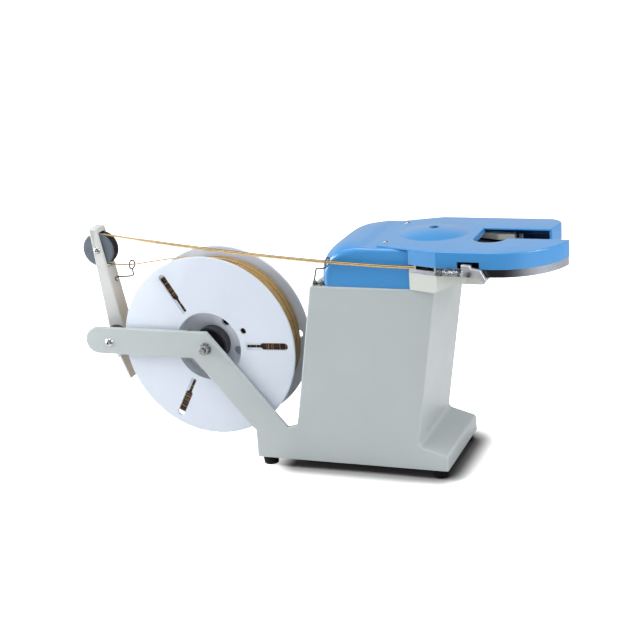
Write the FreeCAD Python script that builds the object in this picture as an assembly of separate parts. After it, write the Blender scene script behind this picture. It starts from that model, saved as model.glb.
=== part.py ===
import FreeCAD, Part
import math
import os

# Bench-top twist-tie machine: a hollow pedestal with a reel arm on its near side,
# a reel of ribbon, a sprung dancer arm with a guide pulley, and a C-shaped tying
# head on top.  Millimetres.  +X to the open mouth (front), +Y away from the
# operator (far), +Z up, bench at z = 0.  Everything is laid out about the middle
# of the pedestal; TO_ORIGIN then moves the origin below the middle of the machine.

Vector = FreeCAD.Vector
X, Y, Z = Vector(1, 0, 0), Vector(0, 1, 0), Vector(0, 0, 1)
ORIGIN = Vector(0, 0, 0)
TO_ORIGIN = Vector(49.58, 6.5, 0)
RUN = 0.05                 # radial running clearance

# Axes are given as the point where they cross the plane through zero.

# pedestal
PED_HALF_W = 75.0          # half depth (Y)
PED_BOTTOM = 12.5          # underside of the casting, top of the rubber feet
PED_TOP = 257.0
PED_WALL = 6.0
TOP_WALL = 7.0
BACK_SLOPE = 0.1655        # lean of the rear wall, dx/dz
ARM_T = 8.0                # thickness of the reel arm plate
ARM_NEAR = -PED_HALF_W     # near face of the reel arm
TOE_X = -133.5             # rear end of the toe below the reel arm
TOE_FOOT = Vector(-120.0, -61.5)
BODY_FEET = [Vector(120.0, -61.5), Vector(120.0, 61.5), Vector(-66.0, 62.0)]
FEET = [TOE_FOOT] + BODY_FEET
BASE_T = 3.0               # base plate thickness
BASE_SCREWS = [Vector(-58.0, -35.0), Vector(-58.0, 25.0), Vector(80.0, -55.0), Vector(80.0, 55.0)]
EYE_SCREWS = [Vector(-35.0, -68.5), Vector(-26.0, -68.5)]
NECK_BOLTS = [Vector(55.0, -54.0), Vector(55.0, 54.0), Vector(110.0, -56.0), Vector(110.0, 56.0)]
BOARD_HOLES = [Vector(x, 0, z) for z in (105.0, 175.0) for x in (-10.0, 70.0)]
INLET = Vector(15.0, 0, 50.0)      # power inlet axis
SWITCH = Vector(62.0, 0, 50.0)     # rocker switch axis

# reel, about an axis along Y
REEL = Vector(-197.0, 0, 163.5)
REEL_R = 125.0
REEL_Y0, REEL_Y1 = -64.5, -5.2
FLANGE_T = 3.5
INSIDE_Y0, INSIDE_Y1 = REEL_Y0 + FLANGE_T, REEL_Y1 - FLANGE_T
HUB_OPEN_R = 47.3
CORE_R = 50.0
WOUND_R = 112.0
ADAPT_R = 24.5
AXLE_R = 6.0
BUSH_R = 10.0
STUD_R = 4.0               # threaded near end of the axle
WASHER_Y = ARM_NEAR - 1.6      # near face of the large washer
NUT_Y = WASHER_Y - 1.8     # near face of the small washer
AXLE_NUT_T = 6.0

# dancer arm
PIVOT = Vector(-342.9, 0, 165.0)
PIVOT_R = 4.0
PULLEY = Vector(-361.0, 0, 288.0)
PULLEY_R = 23.2
GROOVE_R = 20.0
DAN_Y0, DAN_Y1 = -47.5, -22.5
SHEET = 2.5
WEB_TOP, WEB_BEND = (-357.8, 318.7), (-331.0, 176.0)   # ends of the sloping web (x, z)
WEB_NORMAL = Vector(0.9828, 0, 0.1846)
WEB_UP = Vector(-0.1846, 0, 0.9828)

# head
PLATE_Z0, PLATE_Z1 = 280.0, 290.0
COVER_TOP = 311.0
REAR_TOP = 308.5
COVER_T = 3.0
HEAD_REAR = 94.7           # rear end of the full-width head
COVER_REAR = 50.0          # rear end of the front cover's flap
JAW_X, JAW_R = 200.0, 87.0     # arc round the near jaw, centred on y = 0
HEAD_FAR = 85.0            # y of the far side
MOUTH_X = 164.5
MOUTH_Y0, MOUTH_Y1 = -16.5, 34.5
POCKET = Vector(185.0, -17.0)  # round pocket at the closed end of the mouth
POCKET_R = 20.5
NEAR_SLOPE = 24.0 / 83.0   # angled near face, -dy/dx
FAR_SLOPE = 0.5            # angled far face, dy/dx
MAIN = Vector(105.5, 7.5)
MOTOR = Vector(2.0, 0.0)
NEEDLE = Vector(142.0, 60.0)
TWISTER = Vector(0, MAIN.y, 285.0)     # twister axis, along X
TRIGGER = Vector(0, -14.5, 297.0)      # trigger axis, along X
LEVER = Vector(177.0, 0, 285.5)
ANCHOR = Vector(138.3, 0, 286.2)
PLATE_BOLTS = [Vector(75.0, -57.0), Vector(75.0, 57.0), Vector(160.0, -62.0), Vector(160.0, 70.0)]
COVER_SCREWS = [Vector(57.0, -48.0), Vector(57.0, 48.0)]


# ---------------------------------------------------------------------------
# Helpers
# ---------------------------------------------------------------------------
def save(name, shape):
    shape = shape.copy()
    shape.translate(TO_ORIGIN)
    shape.exportStep("parts/%s.step" % name)


def place(axis, a, b, along):
    """Point at `along` on X, Y or Z; a and b are its other two coordinates in x, y, z order."""
    if axis is X:
        return Vector(along, a, b)
    if axis is Y:
        return Vector(a, along, b)
    return Vector(a, b, along)


def around(centre, axis, radius, degrees, along=0.0):
    angle = math.radians(degrees)
    return centre + place(axis, radius * math.cos(angle), radius * math.sin(angle), along)


MOTOR_SCREWS = [around(MOTOR, Z, 20, 45 + 90 * i) for i in range(4)]


def arc(start, middle, end):
    return Part.Arc(start, middle, end).toShape()


def polygon(points):
    return Part.makePolygon(points + [points[0]])


def rounded_wire(axis, outline, along):
    """Closed wire square to the axis from (a, b) or (a, b, corner radius) corners."""
    points = [place(axis, corner[0], corner[1], along) for corner in outline]
    count = len(points)
    ends = []              # start, middle of arc or None, and end of each corner
    for i, corner in enumerate(outline):
        here = points[i]
        if len(corner) < 3:
            ends.append((here, None, here))
            continue
        radius = corner[2]
        back = (points[i - 1] - here).normalize()
        onward = (points[(i + 1) % count] - here).normalize()
        half = back.getAngle(onward) / 2
        middle = here + (back + onward).normalize() * (radius / math.sin(half) - radius)
        reach = radius / math.tan(half)
        ends.append((here + back * reach, middle, here + onward * reach))
    edges = []
    for i, (start, middle, end) in enumerate(ends):
        if middle is not None:
            edges.append(arc(start, middle, end))
        following = ends[(i + 1) % count][0]
        if (following - end).Length > 1e-6:
            edges.append(Part.makeLine(end, following))
    return Part.Wire(edges)


def prism(axis, outline, start, end):
    face = Part.Face(rounded_wire(axis, outline, start))
    return face.extrude(place(axis, 0, 0, end - start))


def rectangle(a0, a1, b0, b1, radius):
    return [(a0, b0, radius), (a1, b0, radius), (a1, b1, radius), (a0, b1, radius)]


def box(x0, x1, y0, y1, z0, z1):
    return Part.makeBox(x1 - x0, y1 - y0, z1 - z0, Vector(x0, y0, z0))


def cyl(centre, axis, start, radius, length):
    return Part.makeCylinder(radius, length, centre + axis * start, axis)


def tube(centre, axis, start, outer, bore, length):
    return cyl(centre, axis, start, outer, length).cut(cyl(centre, axis, start, bore, length))


def refine(shape):
    try:
        return shape.removeSplitter()
    except Exception:      # the kernel may fail to merge the split faces
        return shape


def fuse(first, *others):
    for other in others:
        first = first.fuse(other)
    return refine(first)


def turned(centre, axis, *steps):
    """Coaxial cylinders in one piece; each step is (start, radius, length)."""
    return fuse(*[cyl(centre, axis, *step) for step in steps])


def drill(shape, centres, axis, *bores):
    """Cut (start, radius, length) bores at every centre."""
    for centre in centres:
        for bore in bores:
            shape = shape.cut(cyl(centre, axis, *bore))
    return shape


def swing(shape, axis, degrees, to):
    """Turn the shape about the origin, then carry it to a place."""
    shape.rotate(ORIGIN, axis, degrees)
    shape.translate(to)
    return shape


def try_fillet(shape, radius, edges):
    """The filleted shape, or None if the kernel fails or gives a damaged solid."""
    try:
        rounded = shape.makeFillet(radius, edges)
        if (rounded.isValid() and rounded.Volume > 0
                and len(rounded.Solids) == len(shape.Solids)
                and abs(rounded.Volume - shape.Volume) < 0.2 * shape.Volume):
            return rounded
    except Exception:      # the kernel refuses some edge sets
        pass
    return None


def fillet(shape, radius, picks):
    """Round the picked edges together, or else as many as the kernel takes one by one."""
    edges = [edge for edge in shape.Edges if picks(edge)]
    for trial in (radius, radius * 0.8):
        rounded = try_fillet(shape, trial, edges)
        if rounded is not None:
            return rounded
    accepted = []
    best = shape
    for edge in edges:
        rounded = try_fillet(shape, radius, accepted + [edge])
        if rounded is not None:
            accepted.append(edge)
            best = rounded
    return best


def lies_on(edge, letter, *values):
    """True if the edge lies in one of the planes X, Y or Z = value."""
    low = getattr(edge.BoundBox, letter + "Min")
    high = getattr(edge.BoundBox, letter + "Max")
    return any(abs(low - value) < 0.01 and abs(high - value) < 0.01 for value in values)


def is_rim(edge, radius):
    return abs(edge.Length - 2 * math.pi * radius) < 1.0


def rod(points, radius):
    """Round bent wire through the points."""
    shape = None
    for i, (start, end) in enumerate(zip(points, points[1:])):
        run = end - start
        piece = Part.makeCylinder(radius, run.Length, start, run)
        shape = piece if shape is None else shape.fuse(piece)
        if i:
            shape = shape.fuse(Part.makeSphere(radius, start))
    return shape


def coil(mean_r, wire_r, pitch, turns):
    """Coil spring standing on the origin along +Z."""
    helix = Part.makeHelix(pitch, pitch * turns, mean_r)
    section = Part.Wire(Part.Circle(Vector(mean_r, 0, 0), Y, wire_r).toShape())
    return Part.Wire(helix).makePipeShell([section], True, True)


def hexagon(centre, axis, radius):
    a, b = (centre.x, centre.z) if axis is Y else (centre.x, centre.y)
    angles = [math.radians(60 * i) for i in range(6)]
    return [(a + radius * math.cos(angle), b + radius * math.sin(angle)) for angle in angles]


def hex_nut(centre, axis, start, across_flats, bore, height):
    outline = hexagon(centre, axis, across_flats / math.sqrt(3))
    nut = prism(axis, outline, start, start + height)
    # a sphere takes off the corners
    middle = centre + axis * (start + height / 2)
    nut = nut.common(Part.makeSphere(across_flats / 2 * 1.22, middle))
    return nut.cut(cyl(centre, axis, start - height, bore, height * 3))


def button_head(centre, y, radius, height, socket_r):
    """Domed screw head growing towards -Y from y, with a hexagon socket."""
    dome_r = (radius ** 2 + height ** 2) / (2 * height)
    head = Part.makeSphere(dome_r, centre + Y * (y - height + dome_r))
    head = head.common(cyl(centre, Y, y - height, radius, height))
    socket = hexagon(centre, Y, socket_r)
    return head.cut(prism(Y, socket, y - height * 0.35, y - height * 1.5))


def socket_screw(centre, shank, head, socket):
    """Upright screw from (start, radius, length) of each feature."""
    return turned(centre, Z, shank, head).cut(cyl(centre, Z, *socket))


# ---------------------------------------------------------------------------
# Pedestal and underside
# ---------------------------------------------------------------------------
def back_x(z):
    """x of the rear wall's outer face at height z."""
    return -73.0 + (z - 61.8) * BACK_SLOPE


def pedestal_shell():
    """Five-walled casting, open below, with a forward toe."""
    outer = [(back_x(PED_BOTTOM), PED_BOTTOM), (back_x(PED_TOP), PED_TOP, 4.0),
             (126.6, PED_TOP, 1.5), (94.7, 44.5, 7.0), (133.4, 33.4, 5.0), (133.4, PED_BOTTOM)]
    shell = prism(Y, outer, -PED_HALF_W, PED_HALF_W)
    shell = fillet(shell, 3.0, lambda edge: lies_on(edge, "Y", PED_HALF_W)
                   and not lies_on(edge, "Z", PED_BOTTOM))
    shell = fillet(shell, 2.5, lambda edge: lies_on(edge, "Y", -PED_HALF_W)
                   and not lies_on(edge, "Z", PED_BOTTOM) and edge.BoundBox.XMin > 60)
    ceiling = PED_TOP - TOP_WALL
    floor = PED_BOTTOM - 1
    wall = PED_WALL + 0.3
    inner = [(back_x(PED_BOTTOM) + wall, floor), (back_x(ceiling) + wall, ceiling, 3.0),
             (119.4, ceiling, 3.0), (87.0, 37.5, 6.0), (127.4, 26.0, 3.0), (127.4, floor)]
    return shell.cut(prism(Y, inner, -PED_HALF_W + PED_WALL, PED_HALF_W - PED_WALL))


def reel_arm():
    """Arm plate, gusset and rear toe in the plane of the near wall."""
    outline = [(-378.8, 185.5, 18.55), (-195.2, 186.0, 3.0), (-87.8, 57.1, 2.0), (-73.0, 61.8),
               (-60.0, 120.0), (-40.0, 60.0), (-60.0, PED_BOTTOM), (TOE_X, PED_BOTTOM),
               (TOE_X, 50.5, 3.0), (-138.2, 54.8), (-216.9, 148.6, 4.0), (-378.8, 148.3, 18.55)]
    arm = prism(Y, outline, ARM_NEAR, ARM_NEAR + ARM_T)
    return fillet(arm, 1.6, lambda edge: lies_on(edge, "Y", ARM_NEAR, ARM_NEAR + ARM_T)
                  and edge.BoundBox.XMax < -80 and edge.BoundBox.ZMin > 50)


def pedestal_housing():
    casting = pedestal_shell().fuse(reel_arm())
    # flange behind the rear toe carries its foot
    casting = casting.fuse(box(TOE_X, -75.4, -PED_HALF_W + 4, -49.0, PED_BOTTOM, PED_BOTTOM + 7.5))
    for foot in BODY_FEET:
        casting = casting.fuse(cyl(foot, Z, PED_BOTTOM, 8.5, 17.0 if foot.x > 0 else 27.5))
    # base plate bosses, each tied to the nearest wall by a web
    z0, z1 = PED_BOTTOM + 3.1, PED_BOTTOM + 23.1
    for screw in BASE_SCREWS:
        x, y = screw.x, screw.y
        casting = casting.fuse(cyl(screw, Z, z0, 6.0, 20.0))
        if abs(y) > 40:
            wall_y = math.copysign(72.0, y)
            web = box(x - 4, x + 4, min(y, wall_y), max(y, wall_y), z0, z1)
        else:
            web = box(-76.0, x, y - 4, y + 4, z0, z1)
        casting = casting.fuse(web)
    casting = drill(casting, FEET, Z, (PED_BOTTOM - 1, 2.5, 14.0))
    casting = drill(casting, BASE_SCREWS, Z, (PED_BOTTOM + 2, 2.0, 14.0))
    # top wall: opening for belt and bearing boss, hole for the motor pilot
    under_top = PED_TOP - 12
    casting = casting.cut(box(42.0, 118.5, -48.0, 48.0, under_top, PED_TOP + 1))
    casting = drill(casting, [MOTOR], Z, (under_top, 11.0, 14.0))
    casting = drill(casting, [REEL, PIVOT], Y, (-90, 4.05, 30))
    casting = drill(casting, EYE_SCREWS, Z, (PED_TOP - 3.0, 1.6, 5.0))
    casting = drill(casting, NECK_BOLTS, Z, (under_top, 2.5, 14.0))
    for hole in BOARD_HOLES:
        casting = casting.fuse(cyl(hole, Y, 61.0, 4.0, 9.0))
    casting = casting.cut(block(INLET, 13.6, 10.1, 60, 90))
    casting = casting.cut(block(SWITCH, 6.6, 9.6, 60, 90))
    return refine(drill(casting, MOTOR_SCREWS, Z, (under_top, 2.1, 14.0)))


def base_plate():
    z0, z1 = PED_BOTTOM - 1, PED_BOTTOM + 4
    plate = prism(Z, rectangle(-72.0, 126.0, -66.0, 67.5, 3), PED_BOTTOM, PED_BOTTOM + BASE_T)
    # the corners are cut away round the feet
    for foot in BODY_FEET:
        x, y = foot.x, foot.y
        plate = plate.cut(cyl(foot, Z, z0, 10.0, 5.0))
        x0, x1 = (x, x + 20) if x > 0 else (x - 20, x)
        y0, y1 = (y - 30, y + 10) if y < 0 else (y - 10, y + 30)
        plate = plate.cut(box(x0, x1, y0, y1, z0, z1))
    plate = drill(plate, BASE_SCREWS, Z, (z0, 2.2, 5.0))
    for i in range(7):     # row of slots
        x = i * 8.0
        plate = plate.cut(box(x, x + 3.0, -22, 22, z0, z1))
    return plate


def base_plate_screws():
    return Part.makeCompound([turned(at, Z, (PED_BOTTOM - 2.2, 3.6, 2.2), (PED_BOTTOM, 1.95, 11.0))
                              for at in BASE_SCREWS])


def rubber_feet():
    feet = []
    cone_top = PED_BOTTOM - 2.0
    for at in FEET:
        foot = Part.makeCone(9.6, 11.0, cone_top, at, Z).fuse(cyl(at, Z, cone_top, 11.0, 2.0))
        feet.append(drill(foot, [at], Z, (-1, 5.0, 7.0), (-1, 2.6, 20.0)))
    return Part.makeCompound(feet)


def foot_screws():
    return Part.makeCompound([socket_screw(at, (2.9, 4.4, 3.1), (6.0, 2.45, 14.0), (2.0, 1.6, 2.6))
                              for at in FEET])


# ---------------------------------------------------------------------------
# Head: C-shaped outline shared by plate, neck and cover
# ---------------------------------------------------------------------------
def near_face_y(x, inset):
    return -63.0 + inset - (x - 50.0) * NEAR_SLOPE


def head_face(inset, rear_x, z):
    """Face of the head outline drawn in by inset, cut off square at rear_x."""
    def at(x, y):
        return Vector(x, y, z)

    line = Part.makeLine
    near_y, far_y = inset - JAW_R, HEAD_FAR - inset
    mouth_x = MOUTH_X - inset
    near_lip, far_lip = MOUTH_Y0 - inset, MOUTH_Y1 + inset
    rear_near = at(rear_x, near_face_y(rear_x, inset))
    near_corner = at(133.0 + inset * 0.15, near_y)
    # near jaw: outer arc, rounded tip
    jaw_start = at(JAW_X, near_y)
    jaw_r = JAW_R - inset
    jaw = at(JAW_X, 0)
    tip_angle = math.degrees(math.asin(near_lip / jaw_r)) - 1.9
    tip = around(jaw, Z, jaw_r, tip_angle)
    jaw_middle = around(jaw, Z, jaw_r, (tip_angle - 90) / 2)
    tip_end = at(tip.x - 1.9, near_lip)
    # round pocket, run clockwise to the closed end of the mouth
    pocket = at(POCKET.x, POCKET.y)
    pocket_r = POCKET_R + inset
    rise = near_lip - pocket.y
    reach = math.sqrt(pocket_r ** 2 - rise ** 2)
    pocket_start = at(pocket.x + reach, near_lip)
    start_angle = math.degrees(math.atan2(rise, reach))
    pocket_middle = around(pocket, Z, pocket_r, (start_angle - 180) / 2)
    pocket_end = at(mouth_x, pocket.y)
    # far jaw with a round outer corner
    mouth_corner = at(mouth_x, far_lip)
    far_tip = at(253.0 - inset, far_lip)
    end_face = at(257.6 - inset, 58.0)
    far_end = at(243.0, far_y)
    # angled far side
    far_rear_50 = 62.0 - inset     # y of the angled side at x = 50
    far_corner = at(50.0 + (far_y - far_rear_50) / FAR_SLOPE, far_y)
    rear_far = at(rear_x, far_rear_50 + (rear_x - 50.0) * FAR_SLOPE)
    return Part.Face(Part.Wire([
        line(rear_near, near_corner), line(near_corner, jaw_start),
        arc(jaw_start, jaw_middle, tip), arc(tip, at(tip.x - 0.2, near_lip - 0.75), tip_end),
        line(tip_end, pocket_start), arc(pocket_start, pocket_middle, pocket_end),
        line(pocket_end, mouth_corner), line(mouth_corner, far_tip), line(far_tip, end_face),
        arc(end_face, at(255.2 - inset, 76.0 - inset * 0.5), far_end),
        line(far_end, far_corner), line(far_corner, rear_far), line(rear_far, rear_near)]))


def head_prism(inset, rear_x, z0, z1):
    return head_face(inset, rear_x, z0).extrude(Z * (z1 - z0))


def neck_casting():
    """Carries the plate and steps up under the jaws."""
    neck = head_prism(1.0, HEAD_REAR, PED_TOP, PLATE_Z0)
    neck = neck.fuse(box(44.0, HEAD_REAR + 1, -61.0, 61.0, PED_TOP, PLATE_Z0))
    side = [(40, PED_TOP - 1), (130.0, PED_TOP - 1), (130.0, PED_TOP), (158.0, 270.5, 2.0),
            (193.0, 270.5, 1.5), (200.8, PLATE_Z0), (40, PLATE_Z0)]
    neck = neck.common(prism(Y, side, -100, 100))
    boss = cyl(MAIN, Z, PED_TOP - 7.0, 15.0, 8.0)
    neck = neck.fuse(boss.common(box(60, 118.3, -40, 40, 200, 300)))
    # pocket open to the rear, and a shallower one ahead of it
    for x0, x1, floor in ((40, 133.5, 261.0), (120, 150.0, 272.0)):
        pocket = [(x0, -52.0), (x0, 52.0), (x1, 52.0, 6), (x1, -52.0, 6)]
        neck = neck.cut(prism(Z, pocket, floor, PLATE_Z0 + 1))
    neck = drill(neck, [MAIN], Z, (PED_TOP - 10, 11.0, 20.0))
    neck = drill(neck, [NEEDLE], Z, (PLATE_Z0 - 6, 6.0, 10.0))
    neck = drill(neck, NECK_BOLTS, Z, (PED_TOP - 1, 2.6, 30.0), (266.0, 5.0, 20.0))
    return refine(drill(neck, PLATE_BOLTS, Z, (PLATE_Z0 - 8, 2.0, 10.0)))


def on_near_face(shape):
    """Turn a shape along the angled near face of the plate, starting at x = 105."""
    slope = -math.degrees(math.atan(NEAR_SLOPE))
    return swing(shape, Z, slope, Vector(105.0, near_face_y(105.0, 0.5)))


def head_plate():
    below, above = PLATE_Z0 - 1, PLATE_Z1 + 1
    plate = head_prism(0.5, HEAD_REAR, PLATE_Z0, PLATE_Z1)
    plate = fuse(plate, box(62.0, HEAD_REAR + 1, -61.0, 61.0, PLATE_Z0, PLATE_Z1))
    plate = drill(plate, [MAIN], Z, (below, 11.0, 12.0))
    # pinion window and twister slot
    window = [(114.5, -9.5, 2), (144.0, -9.5, 2), (144.0, 24.5, 2), (114.5, 24.5, 2)]
    plate = plate.cut(prism(Z, window, below, above))
    plate = plate.cut(box(143.0, 170.0, 1.5, 13.5, below, above))
    plate = drill(plate, [NEEDLE], Z, (below, 4.0 + RUN, 12.0))
    plate = drill(plate, PLATE_BOLTS, Z, (below, 2.1, 12.0), (PLATE_Z1 - 4.5, 4.0, 6.0))
    # ribbon inlet pocket, then the feed groove from it to the mouth
    plate = plate.cut(on_near_face(box(0, 26.5, -2.0, 11.0, 285.0, 291.0)))
    groove = box(-4.0, 60.0, -3.0, 3.0, 285.5, 291.0)
    plate = plate.cut(swing(groove, Z, 32, Vector(126.0, -78.0)))
    plate = drill(plate, [LEVER], Y, (-95, 2.0, 20))
    return refine(drill(plate, [ANCHOR], Y, (-95, 1.6, 16)))


def head_socket_screws():
    neck = [socket_screw(at, (247.0, 2.45, 19.0), (266.0, 4.2, 5.0), (268.5, 2.0, 4.0))
            for at in NECK_BOLTS]
    plate = [socket_screw(at, (PLATE_Z0 - 7, 1.95, 12.5), (PLATE_Z1 - 4.5, 3.5, 4.0),
                          (PLATE_Z1 - 2.5, 1.7, 3.0)) for at in PLATE_BOLTS]
    return Part.makeCompound(neck + plate)


def ribbon_inlet_guide():
    guide = box(0.1, 26.4, 0.6, 10.9, 285.0, 289.9)
    guide = guide.cut(box(-1, 27.5, -1, 5.0, 285.9, 288.9))
    return on_near_face(guide.cut(box(15, 24, 4, 12, 285.9, 288.9)))


def front_cover():
    """Moulded shell with the C mouth, shallow dome and a hole over the main shaft."""
    dome_r, rise = 46.0, 6.4
    sphere_r = (dome_r ** 2 + rise ** 2) / (2 * rise)
    dome_centre = MAIN + Z * (COVER_TOP + rise - sphere_r)
    below = PLATE_Z1 - 1
    cover = head_prism(0.0, HEAD_REAR, PLATE_Z1, COVER_TOP)
    cover = fuse(cover, head_prism(0.0, COVER_REAR, REAR_TOP, COVER_TOP))
    cover = fillet(cover, 1.8, lambda edge: lies_on(edge, "Z", COVER_TOP))
    dome = Part.makeSphere(sphere_r, dome_centre)
    cover = cover.fuse(dome.common(box(40, 170, -60, 70, COVER_TOP - 0.8, COVER_TOP + 10)))
    cover = cover.cut(head_prism(COVER_T, HEAD_REAR, below, COVER_TOP - COVER_T))
    under_dome = Part.makeSphere(sphere_r - COVER_T, dome_centre)
    under_dome = under_dome.common(box(97.8, 170, -60, 70, COVER_TOP - 4, COVER_TOP + 10))
    cover = cover.cut(under_dome)
    cover = cover.cut(box(80.0, 99.0, -66.0, 72.0, below, REAR_TOP - 3.0))
    cover = drill(cover, [MAIN], Z, (300, 6.3, 30))
    # far jaw is open to the mouth below a 2.8 mm lip
    cover = cover.cut(box(MOUTH_X, 249.6, MOUTH_Y1 - 1.0, MOUTH_Y1 + 6.0, below, COVER_TOP - 2.8))
    # slot for the needle arm and hole for the trigger in the closed end wall
    cover = cover.cut(box(MOUTH_X - 6, MOUTH_X + 1, -3.0, MOUTH_Y1 + 6.0, below, 302.5))
    cover = drill(cover, [TRIGGER], X, (MOUTH_X - 8, 2.7, 12))
    # window in the near side above the lever
    cover = cover.cut(box(160.0, 188.0, -95.0, -80.0, below, 298.6))
    return refine(drill(cover, COVER_SCREWS, Z, (300, 1.7, 20)))


# curved back of the rear cover, bottom to top (x, z)
HOOD = [(-20.5, PED_TOP), (-20.0, 266.0), (-18.0, 276.5), (-13.0, 287.5),
        (-5.0, 296.0), (6.0, 302.6), (20.0, 306.9), (38.0, REAR_TOP)]


def hood(curve, half_width, front_x):
    """Hood extruded across the machine below a spline through the (x, z) points."""
    points = [Vector(x, -half_width, z) for x, z in curve]
    bottom, top = points[0], points[-1]
    spline = Part.BSplineCurve()
    spline.interpolate(Points=points, InitialTangent=Vector(0.02, 0, 1), FinalTangent=X)
    front_top = Vector(front_x, -half_width, top.z)
    front_bottom = Vector(front_x, -half_width, bottom.z)
    wire = Part.Wire([spline.toShape(), Part.makeLine(top, front_top),
                      Part.makeLine(front_top, front_bottom), Part.makeLine(front_bottom, bottom)])
    return Part.Face(wire).extrude(Y * (2 * half_width))


def rear_cover():
    half_width = 72.5
    cover = hood(HOOD, half_width, 94.4)
    cover = fillet(cover, 5.0, lambda edge: lies_on(edge, "Y", -half_width, half_width)
                   and ((edge.BoundBox.ZMin > PED_TOP - 0.009 and edge.BoundBox.XMax < 94.3)
                        or lies_on(edge, "Z", REAR_TOP)))
    inner = ([(HOOD[0][0] + 3.0, PED_TOP - 1)] + [(x + 3.0, z - 0.6) for x, z in HOOD[1:3]]
             + [(x + 2.2, z - 2.2) for x, z in HOOD[3:-1]] + [(HOOD[-1][0], REAR_TOP - COVER_T)])
    cover = cover.cut(hood(inner, half_width - COVER_T, 91.4))
    cover = cover.cut(box(85.0, 99.0, -62.5, 62.5, PED_TOP - 1, REAR_TOP - 3.0))
    for at in COVER_SCREWS:
        cover = cover.fuse(cyl(at, Z, REAR_TOP - 9.0, 4.0, 7.0))
        cover = cover.cut(cyl(at, Z, REAR_TOP - 9.5, 1.4, 20))
    return refine(cover)


def cover_screws():
    """Domed screws with crossed slots."""
    screws = []
    shank_z = REAR_TOP - 7.5
    for at in COVER_SCREWS:
        head = Part.makeSphere(4.6, at + Z * (COVER_TOP + 1.9 - 4.6))
        head = head.common(cyl(at, Z, COVER_TOP, 3.2, 3))
        screw = fuse(cyl(at, Z, shank_z, 1.38, COVER_TOP - shank_z), head)
        for dx, dy in ((2.0, 0.35), (0.35, 2.0)):
            screw = screw.cut(box(at.x - dx, at.x + dx, at.y - dy, at.y + dy,
                                  COVER_TOP + 0.7, COVER_TOP + 3))
        screws.append(screw)
    return Part.makeCompound(screws)


# ---------------------------------------------------------------------------
# Reel
# ---------------------------------------------------------------------------
def reel_flange(y0, shelf_y0, shelf_y1):
    """Flange from y0 with three bottle-shaped slots and a small hole.

    The narrow inner part of each slot lies in a recessed shelf.
    """
    y1 = y0 + FLANGE_T
    flange = fillet(cyl(REEL, Y, y0, REEL_R, FLANGE_T), 1.2, lambda edge: is_rim(edge, REEL_R))
    flange = drill(flange, [REEL], Y, (y0 - 1, HUB_OPEN_R, 10))
    # radial distance, offset, corner radius
    wide = [(79.0, 5.0), (115.5, 5.0, 4.9), (115.5, -5.0, 4.9), (79.0, -5.0), (75.5, -2.0),
            (75.5, 2.0)]
    narrow = [(56.0, 2.1, 1.0), (77.0, 2.1), (77.0, -2.1), (56.0, -2.1, 1.0)]
    shelf = [(54.5, 5.0, 2.0), (80.0, 5.0), (80.0, -5.0), (54.5, -5.0, 2.0)]
    slots = []
    for k in range(3):
        slot = prism(Y, wide, y0 - 1, y1 + 1).fuse(prism(Y, narrow, y0 - 1, y1 + 1))
        slot = slot.fuse(prism(Y, shelf, shelf_y0, shelf_y1))
        slots.append(swing(slot, Y, -(2.5 + 120 * k), REEL))
    flange = flange.cut(slots[0].fuse(slots[1]).fuse(slots[2]))
    return drill(flange, [around(REEL, Y, 58.0, 24.5)], Y, (y0 - 1, 4.3, 10))


def reel_near_flange():
    return reel_flange(REEL_Y0, REEL_Y0 - 1, REEL_Y0 + 1.6)


def reel_far_flange():
    return reel_flange(INSIDE_Y1, REEL_Y1 - 1.6, REEL_Y1 + 1)


def reel_core():
    web_y = -46.0
    overlap_r = HUB_OPEN_R + 0.5
    core = tube(REEL, Y, INSIDE_Y0, CORE_R, HUB_OPEN_R, INSIDE_Y1 - INSIDE_Y0)
    core = core.fuse(tube(REEL, Y, web_y, overlap_r, ADAPT_R, 4.0))
    core = core.fuse(tube(REEL, Y, web_y, ADAPT_R + 3.0, ADAPT_R, 30.0))
    holes = [around(REEL, Y, 36.5, degrees) for degrees in (56.0, -16.0, 164.0, 236.0)]
    core = drill(core, holes, Y, (-50, 6.0, 12))
    for k in range(5):
        rib = box(ADAPT_R + 2.5, overlap_r, web_y + 4.0, web_y + 30.0, -1.2, 1.2)
        core = core.fuse(swing(rib, Y, -(20.0 + 72 * k), REEL))
    return refine(core)


def wound_ribbon():
    return tube(REEL, Y, INSIDE_Y0 + 0.2, WOUND_R, CORE_R, INSIDE_Y1 - INSIDE_Y0 - 0.4)


def hub_adapter():
    return fuse(tube(REEL, Y, -60.0, ADAPT_R, 21.5, 50.0), tube(REEL, Y, -52.0, 22.0, BUSH_R, 6.0),
                tube(REEL, Y, -18.0, 22.0, BUSH_R, 6.0), tube(REEL, Y, -52.0, 12.5, BUSH_R, 40.0))


def hub_bushes():
    return Part.makeCompound([tube(REEL, Y, y, BUSH_R, AXLE_R + RUN, 12.0) for y in (-52.0, -24.0)])


def reel_axle():
    axle = turned(REEL, Y, (-87.0, STUD_R, 22.0), (-67.0, 9.0, 2.0), (-65.0, AXLE_R, 72.0))
    return axle.cut(Part.makeCone(0.0, 1.6, 1.6, REEL + Y * -85.4, -Y))    # centre dimple


def axle_washers():
    return Part.makeCompound([tube(REEL, Y, WASHER_Y, 8.5, 4.2, ARM_NEAR - WASHER_Y),
                              tube(REEL, Y, NUT_Y, 7.1, 4.2, WASHER_Y - NUT_Y)])


def axle_nut():
    return hex_nut(REEL, Y, NUT_Y - AXLE_NUT_T, 13.0, STUD_R, AXLE_NUT_T)


def axle_thumb_collar():
    grips = [around(REEL, Y, 13.6, 30 * k) for k in range(12)]
    return drill(tube(REEL, Y, -8.0, 13.0, AXLE_R, 12.0), grips, Y, (-4.0, 1.6, 10))


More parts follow.
